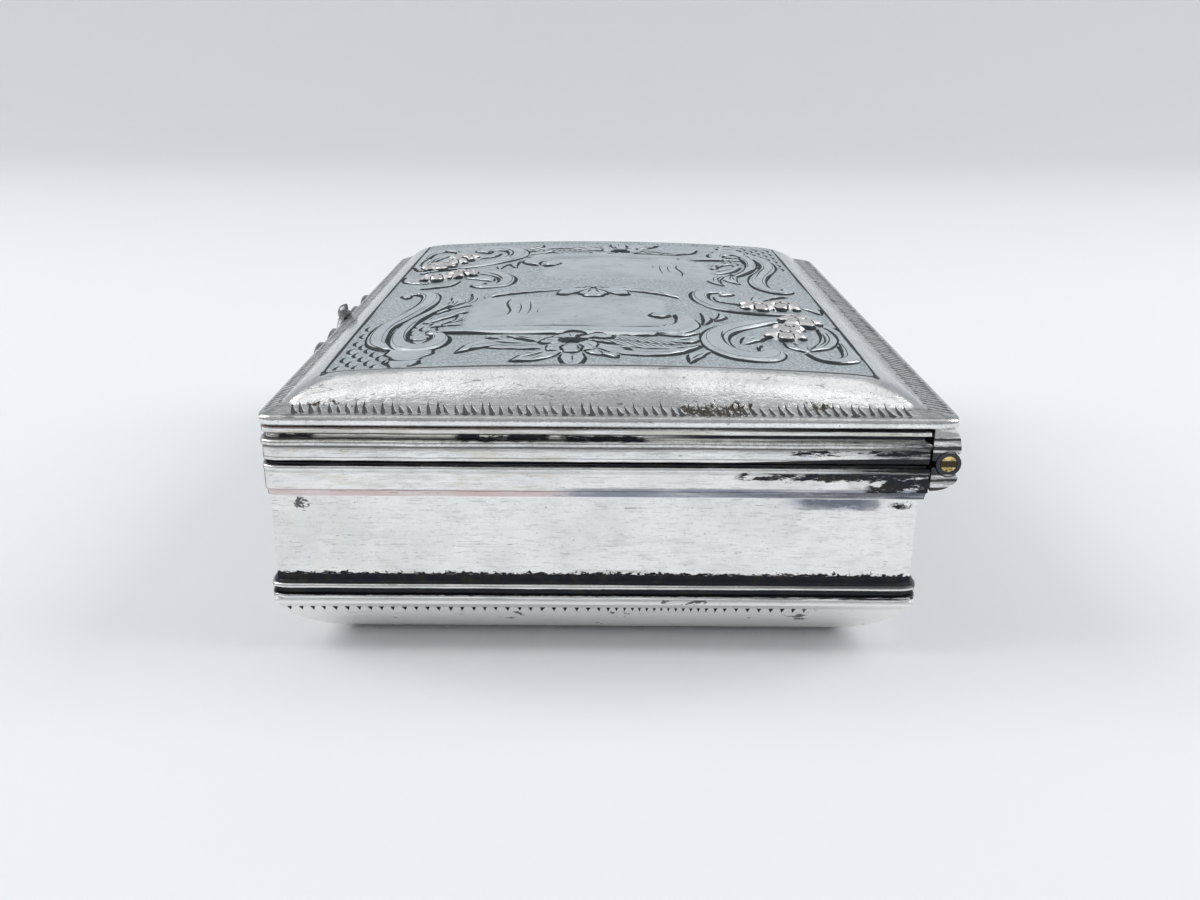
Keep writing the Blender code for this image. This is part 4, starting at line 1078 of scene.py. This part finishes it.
# an even, smooth path through the listed points, with the widths spread along it
def smoothPath(points, widths=None, step=0.25):
    points = np.array(points, dtype=float)
    padded = np.vstack([2 * points[0] - points[1], points, 2 * points[-1] - points[-2]])
    t = np.linspace(0, 1, 12, endpoint=False)[:, None]
    parts = []
    for p0, p1, p2, p3 in zip(padded, padded[1:], padded[2:], padded[3:]):
        parts.append(
            0.5 * (2 * p1 + (p2 - p0) * t + (2 * p0 - 5 * p1 + 4 * p2 - p3) * t**2 + (3 * p1 - p0 - 3 * p2 + p3) * t**3)
        )
    dense = np.vstack(parts + [points[-1:]])
    lengths = np.concatenate([[0], np.cumsum(np.hypot(*np.diff(dense, axis=0).T))])
    count = max(4, int(round(lengths[-1] / step)) + 1)
    at = np.linspace(0, lengths[-1], count)
    path = np.column_stack([np.interp(at, lengths, dense[:, 0]), np.interp(at, lengths, dense[:, 1])])
    if widths is None:
        return path, at / lengths[-1]
    return path, np.interp(at, lengths[::12], widths)


def normalsOf(path):
    along = np.gradient(path, axis=0)
    along /= np.maximum(np.hypot(along[:, 0], along[:, 1]), 1e-9)[:, None]
    return np.column_stack([-along[:, 1], along[:, 0]])


def toCell(y, x):
    row = np.clip(np.rint((x + plan["halfLength"]) / lid["pixel"]).astype(int), 0, sheetRows - 1)
    col = np.clip(np.rint((y + plan["halfWidth"]) / lid["pixel"]).astype(int), 0, sheetCols - 1)
    return row, col


# a sheet's values under the points of a path
def under(grid, path):
    return grid[toCell(path[:, 0], path[:, 1])]


# distance, side and share along the path for every sheet cell near it
def nearPath(path, reach):
    low = np.array(toCell(path[:, 0].min() - reach, path[:, 1].min() - reach))
    high = np.array(toCell(path[:, 0].max() + reach, path[:, 1].max() + reach)) + 1
    window = (slice(low[0], high[0]), slice(low[1], high[1]))
    y, x = sheetY[window], sheetX[window]
    distance = np.full(y.shape, 1e9)
    side = np.zeros(y.shape)
    share = np.zeros(y.shape)
    for k in range(len(path) - 1):
        a, b = path[k], path[k + 1]
        small = np.array(toCell(min(a[0], b[0]) - reach, min(a[1], b[1]) - reach)) - low
        large = np.array(toCell(max(a[0], b[0]) + reach, max(a[1], b[1]) + reach)) - low + 1
        part = (slice(max(small[0], 0), large[0]), slice(max(small[1], 0), large[1]))
        dy, dx = y[part] - a[0], x[part] - a[1]
        step = b - a
        t = np.clip((dy * step[0] + dx * step[1]) / max(step @ step, 1e-12), 0, 1)
        away = np.hypot(dy - t * step[0], dx - t * step[1])
        closer = away < distance[part]
        distance[part] = np.where(closer, away, distance[part])
        side[part] = np.where(closer, np.sign(step[0] * dx - step[1] * dy), side[part])
        share[part] = np.where(closer, (k + t) / (len(path) - 1), share[part])
    return window, distance, side, share


def crossSection(kind, t, side, share, length):
    dome = np.sqrt(np.clip(1 - t * t, 0, 1))
    if kind == "band":
        return easeIn((1 - t) / 0.45) * (1 - 0.30 * easeIn((1 - t - 0.25) / 0.6))
    if kind == "leaf":
        crease = 1 - 0.42 * np.exp(-((t / 0.20) ** 2))
        ripple = 1 + 0.16 * np.sin(share * length * 4.2 + side * 0.8) * easeIn(t * 1.6)
        return dome**0.8 * crease * ripple * (0.75 + 0.25 * easeIn(share * 2))
    if kind in ("petal", "bloom"):
        return dome**0.7 * (0.55 + 0.45 * easeIn(share * 1.5)) * (1 - 0.22 * np.exp(-((t / 0.18) ** 2)))
    if kind == "ledge":
        lean = t * side
        return easeIn((1 - t) / 0.5) * (0.80 + 0.20 * lean)
    return dome


def paintForm(number, kind, rise, path, widths, mound=None):
    reach = widths.max() + 0.1
    window, distance, side, share = nearPath(path, reach)
    width = np.interp(share, np.linspace(0, 1, len(widths)), widths)
    t = distance / np.maximum(width, 0.03)
    inside = (t < 1) & panel[window]
    length = np.hypot(*np.diff(path, axis=0).T).sum()
    height = lid["riseShare"] * rise * crossSection(kind, np.minimum(t, 1), side, share, length) - lid["groundDrop"]
    if mound is not None:
        centre, radius, amount = mound
        fromCentre = np.hypot(sheetY[window] - centre[0], sheetX[window] - centre[1]) / radius
        height = height + amount * np.clip(1 - fromCentre**2, 0, 1)
    relief[window] = np.where(inside, height, relief[window])
    owner[window] = np.where(inside, number, owner[window])


# the outline of a form wherever no later form covers it
def outlineForm(number, kind, path, widths):
    half = lid["outlineHalf"][kind]
    normal = normalsOf(path)
    sides = []
    for sign in (1, -1):
        out = normal * sign
        sides.append((path + out * widths[:, None], out))
    for end, sign in ((0, -1), (-1, 1)):
        if widths[end] > 0.25:
            across = normal[end]
            along = sign * np.array([normal[end][1], -normal[end][0]])
            angles = np.linspace(0, math.pi, max(5, int(widths[end] * 12)))
            out = np.outer(np.cos(angles), across) + np.outer(np.sin(angles), along)
            sides.append((path[end] + out * widths[end], out))
    for points, out in sides:
        inner = points - out * 0.12
        outer = points + out * 0.12
        seen = (under(owner, inner) == number) & (under(owner, outer) < number)
        seen &= under(panel, points)
        swell = 0.85 + 0.30 * np.sin(np.arange(len(points)) * 0.19 + number)
        addRuns(points, seen, half * swell * (1 + 0.55 * out[:, 1] ** 2), 0.14, 1.0)


# fine lines that follow a band inside its edges, or the vein of a leaf
def lipLine(number, kind, path, widths):
    if kind not in ("band", "leaf"):
        return
    normal = normalsOf(path)
    for sign in (1, -1) if kind == "band" else (0,):
        points = path + sign * normal * widths[:, None] * 0.58
        seen = (under(owner, points) == number) & (widths > 0.55)
        addRuns(points, seen, 0.09 if kind == "band" else 0.11, 0.05, 0.62 if sign < 1 else 0.45, 5)


def addRuns(points, seen, half, depth, darkness, taper=2):
    start = None
    for i in range(len(points) + 1):
        here = i < len(points) and seen[i]
        if here and start is None:
            start = i
        if not here and start is not None:
            run = points[start:i]
            if len(run) >= 3:
                widths = half[start:i].copy() if isinstance(half, np.ndarray) else np.full(len(run), half)
                ends = np.minimum(np.arange(len(run)), np.arange(len(run))[::-1])
                widths *= np.clip((ends + 0.6) / taper, 0, 1)
                strokes.append((run, widths, depth, darkness))
            start = None


def engraveLine(number, points, half, depth=0.10, darkness=0.9):
    path, share = smoothPath(points, step=0.28)
    seen = under(owner, path) == number
    widths = half * (0.35 + 0.65 * np.sin(np.pi * np.clip(share, 0.04, 0.96)))
    addRuns(path, seen, widths, depth, darkness)


# a V-cut: deepest and darkest on its middle line
def cutStroke(run, widths, depth, darkness):
    window, distance, side, share = nearPath(run, widths.max() + 0.06)
    width = np.maximum(np.interp(share, np.linspace(0, 1, len(widths)), widths), 0.03)
    cut = np.clip(1 - distance / width, 0, 1) * np.clip(width / 0.12, 0.3, 1)
    groove[window] = np.maximum(groove[window], cut * depth)
    cavity[window] = np.maximum(cavity[window], cut * darkness)


def spread(grid, turns):
    for _ in range(turns):
        for axis in (0, 1):
            grid = 0.25 * np.roll(grid, 1, axis) + 0.5 * grid + 0.25 * np.roll(grid, -1, axis)
    return grid


borderGap = np.minimum(
    panelEdge["end"] - np.abs(sheetX), np.minimum(sheetY - panelEdge["left"], panelEdge["right"] - sheetY)
)
panel = borderGap > 0
relief -= lid["groundDrop"] * easeIn(borderGap / 0.35)
owner[~panel] = -1

panelMiddle = (panelEdge["left"] + panelEdge["right"]) / 2


def turned(points):
    return [(2 * panelMiddle - y, -x) for y, x in points]


# far half: the near half turned round; near half: as drawn
def paintOrnament():
    forms = []
    middle = [row for row in ornament if row[0].startswith("middle")]
    sides = [row for row in ornament if row not in middle]
    order = [(row, True) for row in sides] + [(row, False) for row in sides + middle]
    number = 0
    numbers = {}
    for (name, kind, rise, rows), far in order:
        spine, widths = [row[:2] for row in rows], [row[2] for row in rows]
        number += 1
        numbers[(name, far)] = number
        path, spreadWidths = smoothPath(turned(spine) if far else spine, widths)
        if kind == "field":
            y0, x0 = (path[0] + path[-1]) / 2
            halfX = abs(path[0][1] - path[-1][1]) / 2 + 3.6
            corner = 2.6
            outY = np.abs(sheetY - y0) - (widths[0] + 1.8 - corner)
            outX = np.abs(sheetX - x0) - (halfX - corner)
            away = corner - np.hypot(np.maximum(outY, 0), np.maximum(outX, 0)) - np.minimum(np.maximum(outY, outX), 0)
            inside = (away > 0) & panel
            relief[:] = np.where(inside, lid["riseShare"] * rise * easeIn(away / 1.6) - lid["groundDrop"], relief)
            owner[:] = np.where(inside, number, owner)
            continue
        paintForm(number, kind, rise, path, spreadWidths)
        forms.append((number, kind, path, spreadWidths))
    for far in (True, False):
        for name, centre, radius, count, turn, lift in blossoms:
            centre = turned([centre])[0] if far else centre
            mound = (centre, radius * 1.25, lift * 0.55)
            for k in list(range(0, count, 2)) + list(range(1, count, 2)):
                angle = math.radians(turn + 360 * k / count + (180 if far else 0))
                outwards = np.array([math.cos(angle), math.sin(angle)])
                ends = [np.array(centre) + outwards * radius * share for share in (0.12, 0.42, 0.66)]
                path, spreadWidths = smoothPath(ends, [radius * 0.16, radius * 0.36, radius * 0.36])
                number += 1
                paintForm(number, "bloom", lift * 0.45, path, spreadWidths, mound)
                forms.append((number, "bloom", path, spreadWidths))
            number += 1
            path, spreadWidths = smoothPath([centre, (centre[0] + 0.1, centre[1])], [radius * 0.24] * 2)
            paintForm(number, "dome", lift * 0.5, path, spreadWidths, mound)
            forms.append((number, "bloom", path, spreadWidths))
    for form in forms:
        outlineForm(*form)
        lipLine(*form)
    for name, points, half in engraved:
        for far in (True, False):
            if (name, far) in numbers:
                engraveLine(numbers[(name, far)], turned(points) if far else points, half + 0.03)
    return numbers


numbers = paintOrnament()
bloom = owner > max(numbers.values())
print("ornament painted", len(numbers), "forms", len(strokes), "strokes")


scales = {"rows": 11, "cols": 5, "start": (-20.8, 30.7), "step": (1.50, 1.42), "reach": (0.60, 1.10), "points": 11}


# fish scales along the left border of each half: crescents, thick on their outer side
def paintScales():
    angles = np.radians(np.linspace(80, 250, scales["points"]))
    widths = 0.03 + 0.17 * np.sin(np.linspace(0.05, 0.95, scales["points"]) * math.pi) ** 1.5
    (startY, startX), (stepY, stepX), (reachY, reachX) = scales["start"], scales["step"], scales["reach"]
    for far in (True, False):
        for row in range(scales["rows"]):
            for col in range(scales["cols"]):
                y0 = startY + stepY * col + (stepY / 2 if row % 2 else 0)
                x0 = startX - stepX * row
                points = [(y0 + reachY * math.cos(a), x0 + reachX * math.sin(a)) for a in angles]
                path = np.array(turned(points) if far else points)
                seen = under(owner, path) == 0
                seen &= under(panel, path)
                addRuns(path, seen, widths, 0.09, 1.0)


# slanting hatching on the broad leaves
def paintHatching():
    for name, far in numbers:
        if name not in ("rightLeafLower", "lowLeafLeft", "longLeafLobe"):
            continue
        number = numbers[(name, far)]
        rows, cols = np.where(owner == number)
        ys, xs = cols * lid["pixel"] - plan["halfWidth"], rows * lid["pixel"] - plan["halfLength"]
        slant = np.array([0.62, 0.78]) if name == "rightLeafLower" else np.array([0.85, 0.52])
        across = ys * -slant[1] + xs * slant[0]
        gap = 0.42 if name == "rightLeafLower" else 0.5
        for offset in np.arange(across.min() + 0.2, across.max() - 0.1, gap):
            near = np.abs(across - offset) < 0.06
            if near.sum() < 8:
                continue
            along = (ys * slant[0] + xs * slant[1])[near]
            ends = np.linspace(along.min() + 0.12, along.max() - 0.12, max(4, int(np.ptp(along) / 0.35)))
            path = np.outer(ends, slant) + np.array([-slant[1], slant[0]]) * offset
            seen = under(owner, path) == number
            addRuns(path, seen, 0.10, 0.05, 0.9)


# the plain line round the panel, broken where ornament reaches it
def paintBorder():
    left, right, end = panelEdge["left"], panelEdge["right"], panelEdge["end"]
    corners = [(left, end), (right, end), (right, -end), (left, -end)]
    for a, b in zip(corners, corners[1:] + corners[:1]):
        count = int(math.dist(a, b) / 0.4)
        path = np.column_stack([np.linspace(a[0], b[0], count), np.linspace(a[1], b[1], count)])
        if a[1] == b[1]:
            path[:, 1] += math.copysign(0.30, a[1])  # on the lip, where it is seen from the end
        wander = 0.5 + 0.5 * np.sin(np.arange(count) * 0.13 + a[1]) * np.sin(np.arange(count) * 0.047 + b[0])
        strokes.append((path, 0.10 + 0.09 * wander, 0.08, 0.95))


nicks = {
    "pitch": 0.75,
    "endPitch": 0.71,
    "base": 0.72,
    "tip": 1.95,
    "halfWidth": 0.24,
    "lean": -0.34,
    "sideLean": 0.10,
    "moon": 0.50,
    "moonHalf": (0.03, 0.08, 0.10, 0.08, 0.03),
    "ends": (-23.6, 25.0),
    "sides": (-35.3, 35.4),
}


# a point on the plate's edge strip, by its side, its place along it and its inset
def onSide(side, along, inset):
    foot, r = lid["flangeWidth"], lid["edgeRadius"]
    if side == "nearEnd":
        return along, plan["halfLength"] - inset
    if side == "farEnd":
        return -along, inset - plan["halfLength"]
    if side == "front":
        return inset - plan["halfWidth"], along
    return plan["halfWidth"] + lid["hingeFlange"] - r - (inset - r) / (foot - r) * (flangeEnd() - r), along


# wedges punched along the two ends, with small half-moons below most of them; plain cuts on the long sides
def paintNicks():
    random = np.random.default_rng(7)
    for side in ("nearEnd", "farEnd"):
        for centre in np.arange(*nicks["ends"], nicks["endPitch"]):
            centre += random.uniform(-0.07, 0.07)
            long = (nicks["tip"] - nicks["base"]) * random.uniform(0.80, 1.08)
            lean = nicks["lean"] * random.uniform(0.5, 1.3)
            shares = np.array([1.0, 0.72, 0.42, 0.14, 0.0])
            path = [onSide(side, centre + lean * share, nicks["base"] + long * share) for share in shares]
            widths = nicks["halfWidth"] * random.uniform(0.8, 1.15) * np.array([0.1, 0.42, 0.76, 1.0, 0.6])
            strokes.append((np.array(path), widths, random.uniform(0.09, 0.13), 1.0))
            if random.random() < 0.8:
                bend = np.linspace(-1, 1, 5)
                moon = [onSide(side, centre + 0.23 * t, nicks["moon"] + 0.10 * t * t) for t in bend]
                strokes.append((np.array(moon), np.array(nicks["moonHalf"]), 0.04, random.uniform(0.6, 0.95)))
    for side in ("front", "hinge"):
        for centre in np.arange(*nicks["sides"], nicks["pitch"]):
            centre += random.uniform(-0.08, 0.08)
            shares = np.array([1.0, 0.66, 0.33, 0.0])
            low, high = 0.46 + random.uniform(0, 0.12), 1.56 - random.uniform(0, 0.15)
            path = [onSide(side, centre + nicks["sideLean"] * share, low + (high - low) * share) for share in shares]
            widths = random.uniform(0.8, 1.15) * np.array([0.10, 0.20, 0.23, 0.12])
            strokes.append((np.array(path), widths, random.uniform(0.06, 0.10), random.uniform(0.60, 0.95)))


# the foot of the pillow, kept as an edge of the mesh: it runs round the lid with rounded corners
def creaseLine():
    foot, soft = lid["flangeWidth"], lid["cornerSoftness"]
    points = []
    for side, low, high in (
        ("front", -plan["halfLength"], plan["halfLength"]),
        ("nearEnd", -plan["halfWidth"], plan["halfWidth"] + lid["overhang"]),
        ("hinge", -plan["halfLength"], plan["halfLength"]),
        ("farEnd", -plan["halfWidth"], plan["halfWidth"] + lid["overhang"]),
    ):
        margin = foot + soft
        run = np.linspace(low + margin, high - margin, int((high - low) / 0.3))
        if side in ("hinge", "farEnd"):
            run = run[::-1]
        plain = "nearEnd" if side == "farEnd" else side
        place = np.array([onSide(plain, v, foot) for v in run])
        points.append(place * ((1, -1) if side == "farEnd" else (1, 1)))
    closed = []
    for k in range(4):
        closed.append(points[k])
        start, end = points[k][-1], points[(k + 1) % 4][0]
        corner = np.array([end[0], start[1]]) if k % 2 else np.array([start[0], end[1]])
        for t in (0.2, 0.35, 0.5, 0.65, 0.8):
            closed.append(((1 - t) ** 2 * start + 2 * t * (1 - t) * corner + t * t * end)[None, :])
    return np.vstack(closed)[:, ::-1]


paintScales()
paintHatching()
paintBorder()
paintNicks()
relief = spread(relief, 3)
for stroke in strokes:
    cutStroke(*stroke)
groundShare = spread((owner == 0).astype(float), 2)
bloomShare = spread(bloom.astype(float), 2)
for place, way in (([heart], 1), (turned([heart]), -1)):  # the dark hollow in each flower's heart
    dy, dx = sheetY - place[0][0], (sheetX - place[0][1]) * way
    teeth = 0.16 * np.sin(dy * 13.0) * (dx < 0)
    cavity = np.maximum(cavity, np.clip((1.0 - np.hypot(dy / 1.05, (dx + teeth) / 0.78)) * 3, 0, 1))
print("strokes cut", len(strokes))


def sample(grid, x, y):
    row = np.clip((x + plan["halfLength"]) / lid["pixel"], 0, sheetRows - 1.001)
    col = np.clip((y + plan["halfWidth"]) / lid["pixel"], 0, sheetCols - 1.001)
    r, c = row.astype(int), col.astype(int)
    fr, fc = row - r, col - c
    left = grid[r, c] * (1 - fr) + grid[r + 1, c] * fr
    right = grid[r, c + 1] * (1 - fr) + grid[r + 1, c + 1] * fr
    return left * (1 - fc) + right * fc


# one ring of the plate's edge, point by point in step with every other ring
def edgeRing(inset, hingeShift, counts):
    x = plan["halfLength"] - inset
    front, back = inset - plan["halfWidth"], plan["halfWidth"] - inset + hingeShift
    corners = [(-x, front), (x, front), (x, back), (-x, back)]
    points = []
    for k in range(4):
        a, b = np.array(corners[k]), np.array(corners[(k + 1) % 4])
        points.append(a + (b - a) * (np.arange(counts[k % 2]) / counts[k % 2])[:, None])
    return np.vstack(points)


def gridPoints(xLow, xHigh, yLow, yHigh, step):
    rows = int((xHigh - xLow) / step)
    cols = int((yHigh - yLow) / step)
    points = []
    for r in range(1, rows):
        y = np.linspace(yLow, yHigh, cols + 1) + (0.5 * (yHigh - yLow) / cols if r % 2 else 0)
        y = y[(y > yLow + 0.4 * step) & (y < yHigh - 0.4 * step)]
        points.append(np.column_stack([np.full(len(y), xLow + (xHigh - xLow) * r / rows), y]))
    return np.vstack(points)


def buildLidPlate():
    counts = [round(length / lid["rimStep"]) for length in lid["rimLengths"]]
    r = lid["edgeRadius"]
    rim = edgeRing(r, lid["hingeFlange"], counts)
    left, right, end = rim[:, 1].min(), rim[:, 1].max(), rim[:, 0].max()
    scatter = np.vstack([
        gridPoints(lid["gridChange"], end, left, right, lid["nearGrid"]),
        gridPoints(-end, lid["gridChange"], left, right, lid["farGrid"]),
    ])
    busy = spread((groove > 0).astype(float), 2)
    scatter = scatter[sample(busy, scatter[:, 0], scatter[:, 1]) < 0.02]
    crease = creaseLine()
    scatter = scatter[np.abs(softened(*edgeGaps(scatter[:, 0], scatter[:, 1])) - lid["flangeWidth"]) > 0.09]
    points = [rim, scatter, crease]
    total = len(rim) + len(scatter) + len(crease)
    edges = [(total - len(crease) + i, total - len(crease) + (i + 1) % len(crease)) for i in range(len(crease))]
    rimCount = len(rim)
    for path, widths, depth, darkness in strokes:
        normal = normalsOf(path)
        n = len(path)
        aside = normal[1:-1] * widths[1:-1, None]
        block = np.vstack([path, path[1:-1] + aside, path[1:-1] - aside])[:, ::-1]
        points.append(block)
        edges += [(total + i, total + i + 1) for i in range(n - 1)]
        for start in (n, n + n - 2):
            edges.append((total, total + start))
            edges += [(total + start + i, total + start + i + 1) for i in range(n - 3)]
            edges.append((total + start + n - 3, total + n - 1))
        total += len(block)
    points = np.vstack(points)
    points[rimCount:, 0] = np.clip(points[rimCount:, 0], -end + 0.03, end - 0.03)
    points[rimCount:, 1] = np.clip(points[rimCount:, 1], left + 0.03, right - 0.03)
    result = delaunay_2d_cdt([Vector(p) for p in points], edges, [], 0, 0.012)
    flat = np.array([tuple(v) for v in result[0]])
    x, y = flat[:, 0], flat[:, 1]
    z = lidSurface(x, y) + sample(relief, x, y) - sample(groove, x, y)
    z = np.minimum(z, cadBox[1][2] / mm)  # nothing stands higher than the solids
    rimIndex = {source: i for i, sources in enumerate(result[3]) for source in sources if source < rimCount}
    z[[rimIndex[i] for i in range(rimCount)]] = lid["edgeTop"]
    print("lid face", len(flat), "points", len(result[2]), "triangles")
    bm = bmesh.new()
    fields = {"cavity": cavity, "ground": groundShare, "bloom": bloomShare}
    for name in fields:
        bm.verts.layers.float.new(name)
    layers = [(bm.verts.layers.float[name], sample(fields[name], x, y)) for name in fields]
    top = []
    for i in range(len(flat)):
        vert = bm.verts.new((x[i] * mm, y[i] * mm, z[i] * mm))
        for layer, values in layers:
            vert[layer] = values[i]
        top.append(vert)
    for tri in result[2]:
        if len(set(tri)) == 3:
            try:
                bm.faces.new([top[i] for i in tri])
            except ValueError:
                pass
    # the nose and the underside
    previous = [top[rimIndex[i]] for i in range(rimCount)]
    tall = lid["noseDrop"] / 2
    middle = lid["edgeTop"] - tall
    seat = lid["edgeTop"] - 2 * r
    ringPlan = []
    for step in range(1, 9):
        angle = math.radians(90 + 180 * step / 8)
        ringPlan.append((r + r * math.cos(angle), middle + tall * math.sin(angle)))
    ringPlan.append((r + 0.05, seat - 0.03))
    for inset, level in ringPlan:
        ring = edgeRing(inset, lid["hingeFlange"], counts)
        fresh = [bm.verts.new((px * mm, py * mm, level * mm)) for px, py in ring]
        joinRings(bm, previous, fresh)
        previous = fresh
    ring = edgeRing(lid["seatInset"], r, counts)
    fresh = [bm.verts.new((px * mm, py * mm, seat * mm)) for px, py in ring]
    joinRings(bm, previous, fresh)
    closeUnderside(bm, fresh)
    places = np.array([vert.co[:] for vert in bm.verts]) / mm
    wearCorners(places, back=plan["halfWidth"] + lid["hingeFlange"])
    for vert, place in zip(bm.verts, places):
        vert.co = place * mm
    mesh = bpy.data.meshes.new("lidPlate")
    bmesh.ops.recalc_face_normals(bm, faces=bm.faces)
    bm.to_mesh(mesh)
    bm.free()
    return addObject("lidPlate", mesh)


def joinRings(bm, outer, inner):
    for i in range(len(outer)):
        j = (i + 1) % len(outer)
        bm.faces.new((outer[i], outer[j], inner[j], inner[i]))


def closeUnderside(bm, ringVerts):
    ring = np.array([(v.co.x / mm, v.co.y / mm) for v in ringVerts])
    scatter = gridPoints(ring[:, 0].min(), ring[:, 0].max(), ring[:, 1].min(), ring[:, 1].max(), 1.1)
    result = delaunay_2d_cdt([Vector(p) for p in np.vstack([ring, scatter])], [], [], 0, 0.005)
    verts = []
    for point, sources in zip(result[0], result[3]):
        known = [s for s in sources if s < len(ring)]
        if known:
            verts.append(ringVerts[known[0]])
            continue
        x, y = point
        height = underside(x, y)
        verts.append(bm.verts.new((x * mm, y * mm, height * mm)))
    for tri in result[2]:
        if len(set(tri)) == 3:
            bm.faces.new([verts[i] for i in reversed(tri)])


# the hollow of the lid follows the top at the plate's thickness
def underside(x, y):
    foot, thickness, r = lid["flangeWidth"], lid["thickness"], lid["edgeRadius"]
    start = foot + thickness
    run = lid["shoulder"] - start
    slope = 1 - (lid["panelShift"] - r) / run
    back = plan["halfWidth"] + r - start
    hingeSide = start + (back - y) / slope if y < back else plan["halfWidth"] + r - y
    sides = min(y + plan["halfWidth"], hingeSide)
    ends = plan["halfLength"] - abs(x)
    inset = float(softened(ends, sides))
    low = lid["edgeTop"] - 2 * r
    level = lid["edgeTop"] + lid["flangeRise"] - thickness
    if inset < start:
        return low + (level - low) * max(inset - lid["seatInset"], 0) / (start - lid["seatInset"])
    return level + float(pillowRise(x, y, (inset - start) / run)) - 0.02


# the pillow's foot stays a crisp line
def sharpenCrease(obj):
    mesh = obj.data
    places = pointsOf(mesh)
    away = softened(*edgeGaps(places[:, 0], places[:, 1])) - lid["flangeWidth"]
    onLine = (np.abs(away) < 0.03) & (places[:, 2] > lid["edgeTop"])
    for edge in mesh.edges:
        if onLine[edge.vertices[0]] and onLine[edge.vertices[1]]:
            edge.use_edge_sharp = True


lidPlate = settle(buildLidPlate(), "lid_plate", "lid", lidSilver, 30)
sharpenCrease(lidPlate)
print("lid plate done")

stage = {
    "floorColour": (0.80, 0.82, 0.84),
    "backShadeColour": (0.66, 0.68, 0.70),
    "floorNear": 0.9,
    "floorFar": -0.42,
    "bendRadius": 0.25,
    "wallHeight": 0.9,
    "halfWidth": 1.1,
    "worldStrength": 0.45,
    "overheadPower": 0.036,
    "wingPower": 0.34,
    "ceilingPower": 1.30,
    "sidePower": 2.75,
    "cardPlace": 0.55,
    "cardHeight": 0.42,
}


# one sheet: flat floor, a bend, and a back wall; its colour grows darker towards the back and up the wall, a painted
# shade
def buildFloor():
    profile = [(stage["floorNear"], 0.0), (0.3, 0.0), (stage["floorFar"], 0.0)]
    for i in range(1, 13):
        angle = math.radians(90 * i / 12)
        profile.append(
            (stage["floorFar"] - stage["bendRadius"] * math.sin(angle), stage["bendRadius"] * (1 - math.cos(angle)))
        )
    profile.append((stage["floorFar"] - stage["bendRadius"], stage["wallHeight"]))
    mesh = bpy.data.meshes.new("paleFloor")
    points, faces = [], []
    for x, z in profile:
        points += [(x, -stage["halfWidth"], z), (x, stage["halfWidth"], z)]
    for i in range(len(profile) - 1):
        faces.append((2 * i, 2 * i + 1, 2 * i + 3, 2 * i + 2))
    mesh.from_pydata(points, [], faces)
    floor = addObject("paleFloor", mesh)
    editAll(floor)
    bpy.ops.mesh.flip_normals()
    bpy.ops.object.mode_set(mode="OBJECT")
    mesh.shade_smooth()
    material, shader = newMaterial("paleFloor")
    place = millimetres()
    shadeBackwards = remap(axisOf(place, 0), -60.0, -600.0)
    feed(mixed(shadeBackwards, stage["floorColour"], stage["backShadeColour"]), shader.inputs["Base Color"])
    shader.inputs["Roughness"].default_value = 0.9
    shader.inputs["Specular IOR Level"].default_value = 0.1
    mesh.materials.append(material)


# a dark card behind the camera keeps the shadow under the box deep
def buildCard():
    place = (stage["cardPlace"], 0, stage["cardHeight"] / 2)
    bpy.ops.mesh.primitive_plane_add(size=1, location=place, rotation=(0, math.radians(-90), 0))
    card = bpy.context.object
    card.name = "darkCard"
    card.scale = (stage["cardHeight"], 2 * stage["halfWidth"], 1)
    bpy.ops.object.transform_apply(location=True, rotation=True, scale=True)
    material, shader = newMaterial("darkCard")
    shader.inputs["Base Color"].default_value = (0.33, 0.33, 0.34, 1)
    shader.inputs["Roughness"].default_value = 0.9
    card.data.materials.append(material)


def addLamp(name, place, target, size, power):
    lamp = bpy.data.lights.new(name, "AREA")
    lamp.shape = "RECTANGLE"
    lamp.size, lamp.size_y = size
    lamp.energy = power
    obj = addObject(name, lamp)
    obj.location = place
    obj.rotation_euler = (Vector(target) - Vector(place)).to_track_quat("-Z", "Y").to_euler()


def buildLights():
    world = bpy.data.worlds.new("softStudio")
    bpy.context.scene.world = world
    world.use_nodes = True
    background = world.node_tree.nodes["Background"]
    background.inputs["Color"].default_value = (0.945, 0.975, 1.0, 1)
    background.inputs["Strength"].default_value = stage["worldStrength"]
    addLamp("overheadSoftbox", (0.18, 0, 0.55), (0.18, 0, 0), (0.16, 0.16), stage["overheadPower"])
    addLamp("ceilingSoftbox", (-0.125, 0, 0.56), (-0.125, 0, 0), (0.37, 2.4), stage["ceilingPower"])
    for side, way in (("Left", -1), ("Right", 1)):
        out = way * 0.48
        addLamp("overheadWing" + side, (0.18, out, 0.55), (0.18, out, 0), (0.16, 0.80), stage["wingPower"])
        addLamp(side.lower() + "Softbox", (-0.04, way * 0.65, 0.50), (0, 0, 0.01), (0.5, 0.5), stage["sidePower"])


photo = {"place": (0.1262, 0.00045, 0.04814), "heading": 90, "tilt": 71.4, "roll": 0.35, "sensor": 36.0, "lens": 36.0}


def buildCamera():
    data = bpy.data.cameras.new("photoCamera")
    data.sensor_width = photo["sensor"]
    data.lens = photo["lens"]
    data.clip_start = 0.005
    camera = addObject("photoCamera", data)
    pose = Matrix.Translation(photo["place"])
    for name, axis in (("heading", "Z"), ("tilt", "X"), ("roll", "Z")):
        pose = pose @ Matrix.Rotation(math.radians(photo[name]), 4, axis)
    camera.matrix_world = pose
    bpy.context.scene.camera = camera


buildFloor()
buildCard()
buildLights()
buildCamera()
bpy.context.scene.view_settings.view_transform = "Standard"
print("stage, lights and camera done")
